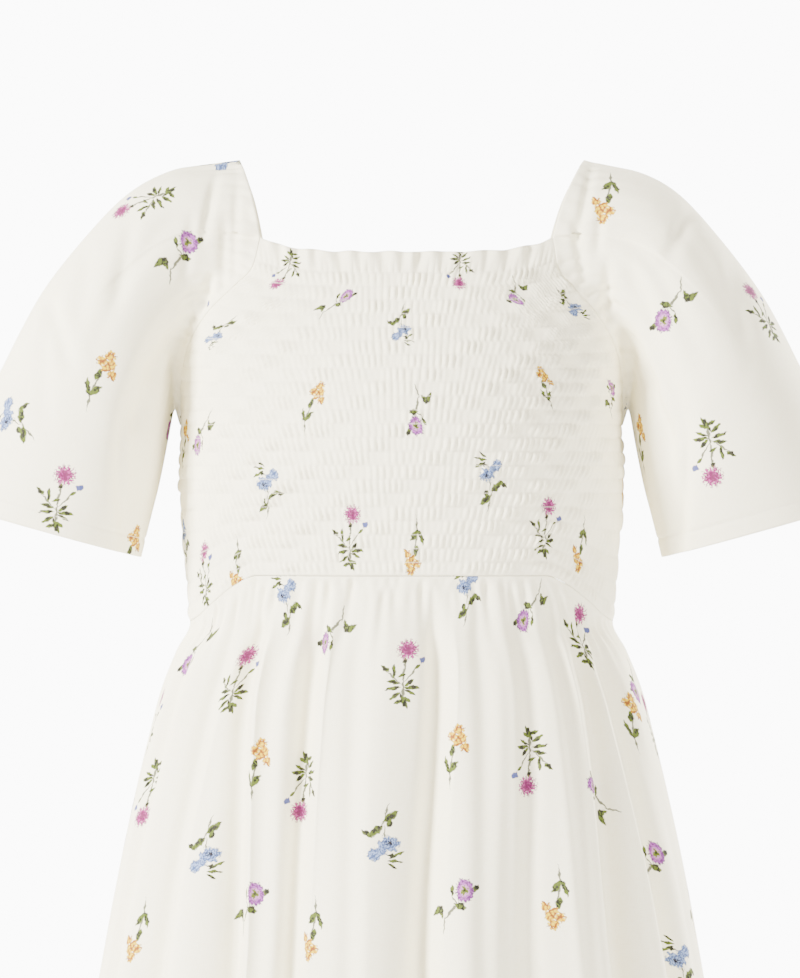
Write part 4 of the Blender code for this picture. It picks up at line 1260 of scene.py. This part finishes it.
def orange_head(tree, point, blotch, ragged):
    """A head of many small round petals: cells about 3 mm apart inside five soft ovals."""
    soft = maths(tree, "MULTIPLY_ADD", ragged, 1.0, -0.5)
    distance = maths(tree, "ADD", nearest_round(tree, point, ORANGE_HEADS), soft)
    cells = tree.nodes.new("ShaderNodeTexVoronoi")
    cells.voronoi_dimensions = "2D"
    cells.inputs["Scale"].default_value = 3.4
    tree.links.new(point, cells.inputs["Vector"])
    spread = cells.outputs["Distance"]
    petals = fade(tree, spread, 0.12, 0.36, INK_AND_SHADE["orange_pale"], INK_AND_SHADE["orange"])
    petals = fade(tree, spread, 0.42, 0.60, petals, INK_AND_SHADE["orange_dark"])
    return petals, between(tree, distance, 1.05, 0.85)


def blue_head(tree, point, blotch, ragged):
    """Soft blue petals in ragged ovals, veined by the ragged noise, round a navy eye."""
    soft = maths(tree, "MULTIPLY_ADD", blotch, 1.1, -0.55)
    distance = maths(tree, "ADD", nearest_round(tree, point, BLUE_HEADS), soft)
    petals = fade(tree, ragged, 0.44, 0.60, INK_AND_SHADE["blue"], INK_AND_SHADE["blue_pale"])
    eye = nearest_round(tree, point, BLUE_EYE)
    eye = maths(tree, "ADD", eye, maths(tree, "MULTIPLY_ADD", ragged, 1.6, -0.8))
    petals = fade(tree, eye, 1.1, 0.5, petals, INK_AND_SHADE["navy"])
    return petals, between(tree, distance, 1.05, 0.85)


# In the order of KINDS
FLOWERS = (
    (PINK_LEAVES, PINK_STEMS, pink_head),
    (LILAC_LEAVES, LILAC_STEMS, lilac_head),
    (ORANGE_LEAVES, ORANGE_STEMS, orange_head),
    (BLUE_LEAVES, BLUE_STEMS, blue_head),
)


def make_flower_group(number, leaf):
    """One kind of flower at its own place, its head laid over its greenery. Blotch mottles the inks,
    and ragged roughens the edges."""
    inputs = [("Point", "Vector"), ("Blotch", "Float"), ("Ragged", "Float")]
    outputs = [("Colour", "Color"), ("Ink", "Float")]
    group, start, end = new_group(KINDS[number] + "_flower", inputs, outputs)
    leaves, stems, head = FLOWERS[number]
    point = vector_maths(group, "SUBTRACT", start.outputs["Point"], (FLOWER_STEP * number, 0.0, 0.0))
    blotch = start.outputs["Blotch"]
    green, green_ink = greenery(group, leaf, point, leaves, stems, blotch)
    petals, petal_ink = head(group, point, blotch, start.outputs["Ragged"])
    group.links.new(blend(group, petal_ink, green, petals), end.inputs["Colour"])
    group.links.new(maths(group, "MAXIMUM", green_ink, petal_ink), end.inputs["Ink"])
    return group


def make_print_group():
    """The four flowers, one over another, all drawn with an unsteady hand: a noise moves each
    point by up to 1.7 mm, one blotches the inks, and a finer one makes their edges ragged."""
    outputs = [("Colour", "Color"), ("Ink", "Float")]
    group, start, end = new_group("flower_print", [("Point", "Vector")], outputs)
    shift = noise(group, start.outputs["Point"], 2.2, 1.0, "Color")
    shift = vector_maths(group, "SUBTRACT", shift, (0.5, 0.5, 0.5))
    shift = vector_maths(group, "MULTIPLY", shift, (SHAKE, SHAKE, 0.0))
    point = vector_maths(group, "ADD", start.outputs["Point"], shift)
    blotch = noise(group, point, 2.6, 2.0)
    ragged = noise(group, point, 5.0, 1.0)
    leaf = make_leaf_group()
    colour = None
    ink = None
    for number in range(len(KINDS)):
        flower_group = make_flower_group(number, leaf)
        flower = use_group(group, flower_group, Point=point, Blotch=blotch, Ragged=ragged)
        if ink is None:
            colour, ink = flower["Colour"], flower["Ink"]
            continue
        over = maths(group, "GREATER_THAN", flower["Ink"], ink)
        colour = blend(group, over, colour, flower["Colour"])
        ink = maths(group, "MAXIMUM", ink, flower["Ink"])
    group.links.new(colour, end.inputs["Colour"])
    group.links.new(ink, end.inputs["Ink"])
    return group


def make_weave_group():
    """A plain weave with slubs: two crossed sines of the thread pitch, and noises drawn out along
    the warp and along the weft."""
    outputs = [("Height", "Float"), ("Slub", "Float")]
    group, start, end = new_group("slub_weave", [("Map", "Vector")], outputs)
    place = start.outputs["Map"]
    x, y = split(group, place)
    warp = maths(group, "SINE", maths(group, "MULTIPLY", x, 2 * np.pi / THREAD_PITCH))
    weft = maths(group, "SINE", maths(group, "MULTIPLY", y, 2 * np.pi / THREAD_PITCH))
    threads = maths(group, "MULTIPLY", warp, weft)
    warpwise = vector_maths(group, "MULTIPLY", place, (SLUB_ACROSS, SLUB_ALONG, 1.0))
    weftwise = vector_maths(group, "MULTIPLY", place, (SLUB_ALONG, SLUB_ACROSS, 1.0))
    along_warp = noise(group, warpwise, 1.0, 1.0)
    along_weft = noise(group, weftwise, 1.0, 1.0)
    slub = maths(group, "MULTIPLY", maths(group, "ADD", along_warp, along_weft), 0.5)
    group.links.new(slub, end.inputs["Slub"])
    height = maths(group, "MULTIPLY_ADD", threads, 0.18, maths(group, "MULTIPLY", slub, 1.6))
    group.links.new(height, end.inputs["Height"])
    return group


def make_stitch_group():
    """A running stitch: thread within a third of a millimetre of its line, a gap after each stitch, and the
    groove that it pulls the cloth into, which both dents the surface and carries painted shade in the
    colour."""
    inputs = [("Along", "Float"), ("Off", "Float")]
    group, start, end = new_group("running_stitch", inputs, [("Thread", "Float"), ("Groove", "Float")])
    off = maths(group, "ABSOLUTE", start.outputs["Off"])
    dash = maths(group, "PINGPONG", start.outputs["Along"], STITCH_LENGTH / 2)
    dash = between(group, dash, 0.00020, 0.00045)
    thread = maths(group, "MULTIPLY", between(group, off, 0.00038, 0.00018), dash)
    group.links.new(thread, end.inputs["Thread"])
    group.links.new(between(group, off, 0.0016, 0.0002), end.inputs["Groove"])
    return group


def named_map(tree, name):
    """The place on one of the cloth's maps."""
    node = tree.nodes.new("ShaderNodeUVMap")
    node.uv_map = name
    return node.outputs["UV"]


def printed_cloth(name, groups, shirred):
    """Matt woven cloth with the printed flowers, its slubs and its stitched lines, with painted shade
    darkening the cloth along each stitch's groove.
    """
    material = bpy.data.materials.new(name)
    material.use_nodes = True
    tree = material.node_tree
    shader = tree.nodes["Principled BSDF"]
    weave = use_group(tree, groups["weave"], Map=named_map(tree, "cloth"))
    slub = between(tree, weave["Slub"], 0.35, 0.65)
    colour = blend(tree, slub, CLOTH_DARK, CLOTH_LIGHT)
    inked = use_group(tree, groups["print"], Point=named_map(tree, "print"))
    cover = maths(tree, "MULTIPLY", inked["Ink"], maths(tree, "MULTIPLY_ADD", slub, 0.04, 0.955))
    colour = blend(tree, cover, colour, inked["Colour"])
    x, y = split(tree, named_map(tree, "sewing"))
    if shirred:
        off = maths(tree, "MULTIPLY", maths(tree, "PINGPONG", y, 0.5), SHIRRING_PITCH * MM)
    else:
        off = maths(tree, "SUBTRACT", y, HEM_STITCH)
    sewn = use_group(tree, groups["stitch"], Along=x, Off=off)
    # Painted shade: the cloth's colour darkened along the groove of each stitched line
    colour = blend(tree, maths(tree, "MULTIPLY", sewn["Groove"], 0.12), colour, INK_AND_SHADE["shade"])
    colour = blend(tree, maths(tree, "MULTIPLY", sewn["Thread"], 0.5), colour, CLOTH_LIGHT)
    tree.links.new(colour, shader.inputs["Base Color"])
    rough = maths(tree, "MULTIPLY_ADD", slub, -0.08, 0.94)
    tree.links.new(rough, shader.inputs["Roughness"])
    height = maths(tree, "MULTIPLY_ADD", sewn["Groove"], -1.2, weave["Height"])
    height = maths(tree, "MULTIPLY_ADD", sewn["Thread"], 0.9, height)
    bump = tree.nodes.new("ShaderNodeBump")
    bump.inputs["Strength"].default_value = 0.5
    bump.inputs["Distance"].default_value = 0.00012
    tree.links.new(height, bump.inputs["Height"])
    tree.links.new(bump.outputs["Normal"], shader.inputs["Normal"])
    shader.inputs["Sheen Weight"].default_value = 0.04
    shader.inputs["Specular IOR Level"].default_value = 0.15
    return material


def make_groups():
    """The effects that all the pieces share."""
    return {"weave": make_weave_group(), "stitch": make_stitch_group(), "print": make_print_group()}


# Name, node that it covers, flat size of its cloth, whether its grid closes on itself, whether its
# quads are turned over, and how fine it is
PIECES = (
    ("shirred_front", "bodice_front", (0.70, 0.31), False, True, FRONT_BODICE_FINE),
    ("shirred_back", "bodice_back", (0.62, 0.31), False, False, BACK_BODICE_FINE),
    ("puff_sleeve_left", "sleeve_left", (0.70, 0.36), True, True, SLEEVE_FINE),
    ("puff_sleeve_right", "sleeve_right", (0.70, 0.36), True, False, SLEEVE_FINE),
    ("gathered_skirt_front", "skirt_front", (0.95, 0.74), False, True, FRONT_SKIRT_FINE),
    ("gathered_skirt_back", "skirt_back", (0.92, 0.74), False, False, BACK_SKIRT_FINE),
)


def sewing_places(sheet, fine):
    """Across in metres, and down: rows of shirring on a bodice, or metres up from the hem."""
    if sheet.name.startswith("shirred"):
        rows = bodice_rows(fine)
        pads = (len(HEM_TURN), len(SEAM_ALLOWANCE))
        bands = np.pad((rows - HEADER_ROWS) / 2, pads, mode="edge")
        return sheet.at_corners(sheet.across * MM, np.tile(bands[:, None], sheet.grid.shape[1]))
    edge = sheet.down[-1 - len(HEM_TURN)]
    return sheet.at_corners(sheet.across * MM, (edge[None, :] - sheet.down) * MM)


def cloth_points(node, fine):
    """The grid of the cloth that covers a node."""
    garment, place = node.split("_")
    if garment == "bodice":
        return bodice_cloth(fine, place == "front")
    if garment == "skirt":
        return skirt_cloth(fine, place == "front")
    return sleeve_cloth(fine, -1.0 if place == "left" else 1.0, place)


def make_pieces():
    """Every piece with its maps and its cloth, each covering its own node."""
    groups = make_groups()
    for name, node, flat, closed, flip, fine in PIECES:
        sheet = Sheet(name, cloth_points(node, fine), closed, flip)
        piece = sheet.object()
        sheet.lay_map(piece.data, "cloth", sheet.at_corners(sheet.across * MM, -sheet.down * MM))
        sheet.lay_map(piece.data, "print", print_places(sheet))
        sheet.lay_map(piece.data, "sewing", sewing_places(sheet, fine))
        shirred = name.startswith("shirred")
        piece.data.materials.append(printed_cloth(name + "_print", groups, shirred))
        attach(piece, "root")
        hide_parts(node)


# Setting


FLOOR_Z = -1.42
FLOOR_HALF = 4
FLOOR_GREY = (0.9, 0.9, 0.9, 1)
FILL_TINT = (1.0, 0.90, 0.72, 1.0)
FILL_STRENGTH = 0.5
BACKDROP_TINT = (1.0, 1.0, 1.0, 1.0)
BACKDROP_STRENGTH = 11.0
# Lamps: name, place, size, energy
LAMPS = (
    ("key_light", (-3.7, -2.3, 1.5), 1.1, 1150.0),
    ("side_light", (3.0, -3.2, 0.2), 1.2, 250.0),
    ("back_light", (3.2, 2.6, 1.4), 1.8, 800.0),
    ("back_side_light", (-3.3, 2.6, 0.4), 1.6, 300.0),
)
LAMP_TINT = (1.0, 0.98, 0.95)
LAMP_AIM = (0.0, 0.0, -0.45)
CAMERA_PLACE = (-0.0014, -5.0, -0.3027)
SENSOR_WIDTH = 36.0
LENS = 200.0


def place_object(name, data, place):
    """An object in the scene."""
    thing = bpy.data.objects.new(name, data)
    thing.location = place
    bpy.context.scene.collection.objects.link(thing)
    return thing


def make_floor():
    """A pale square floor."""
    floor = bpy.data.meshes.new("floor")
    half = FLOOR_HALF
    corners = [(-half, -half, 0), (half, -half, 0), (half, half, 0), (-half, half, 0)]
    floor.from_pydata(corners, [], [(0, 1, 2, 3)])
    paint = bpy.data.materials.new("floor_paint")
    paint.use_nodes = True
    paint.node_tree.nodes["Principled BSDF"].inputs["Base Color"].default_value = FLOOR_GREY
    floor.materials.append(paint)
    place_object("floor", floor, (0.0, 0.0, FLOOR_Z))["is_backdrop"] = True


def make_backdrop():
    """A world that looks white to the camera and lights the cloth with a warm fill."""
    world = bpy.data.worlds.new("studio")
    bpy.context.scene.world = world
    world.use_nodes = True
    tree = world.node_tree
    fill = tree.nodes["Background"]
    fill.inputs["Color"].default_value = FILL_TINT
    fill.inputs["Strength"].default_value = FILL_STRENGTH
    seen = tree.nodes.new("ShaderNodeBackground")
    seen.inputs["Color"].default_value = BACKDROP_TINT
    seen.inputs["Strength"].default_value = BACKDROP_STRENGTH
    mix = tree.nodes.new("ShaderNodeMixShader")
    tree.links.new(tree.nodes.new("ShaderNodeLightPath").outputs["Is Camera Ray"], mix.inputs[0])
    tree.links.new(fill.outputs[0], mix.inputs[1])
    tree.links.new(seen.outputs[0], mix.inputs[2])
    tree.links.new(mix.outputs[0], tree.nodes["World Output"].inputs["Surface"])


def make_lamps():
    """Soft square lamps, all aimed at the waist: a strong one from the left, weaker ones elsewhere."""
    for name, place, size, energy in LAMPS:
        lamp = bpy.data.lights.new(name, "AREA")
        lamp.size = size
        lamp.energy = energy
        lamp.color = LAMP_TINT
        aim = Vector(LAMP_AIM) - Vector(place)
        place_object(name, lamp, place).rotation_euler = aim.to_track_quat("-Z", "Y").to_euler()


def make_camera():
    """A level camera straight ahead of the dress."""
    eye = bpy.data.cameras.new("camera")
    eye.sensor_width = SENSOR_WIDTH
    eye.lens = LENS
    camera = place_object("camera", eye, CAMERA_PLACE)
    camera.rotation_euler = (np.radians(90.0), 0.0, 0.0)
    bpy.context.scene.camera = camera


def write_sizes():
    """The size of the frame before and after the pieces are made."""
    boxes = (bounds_before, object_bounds())
    plain = [[[float(value) for value in corner] for corner in box] for box in boxes]


make_pieces()
make_floor()
make_backdrop()
make_lamps()
make_camera()
write_sizes()
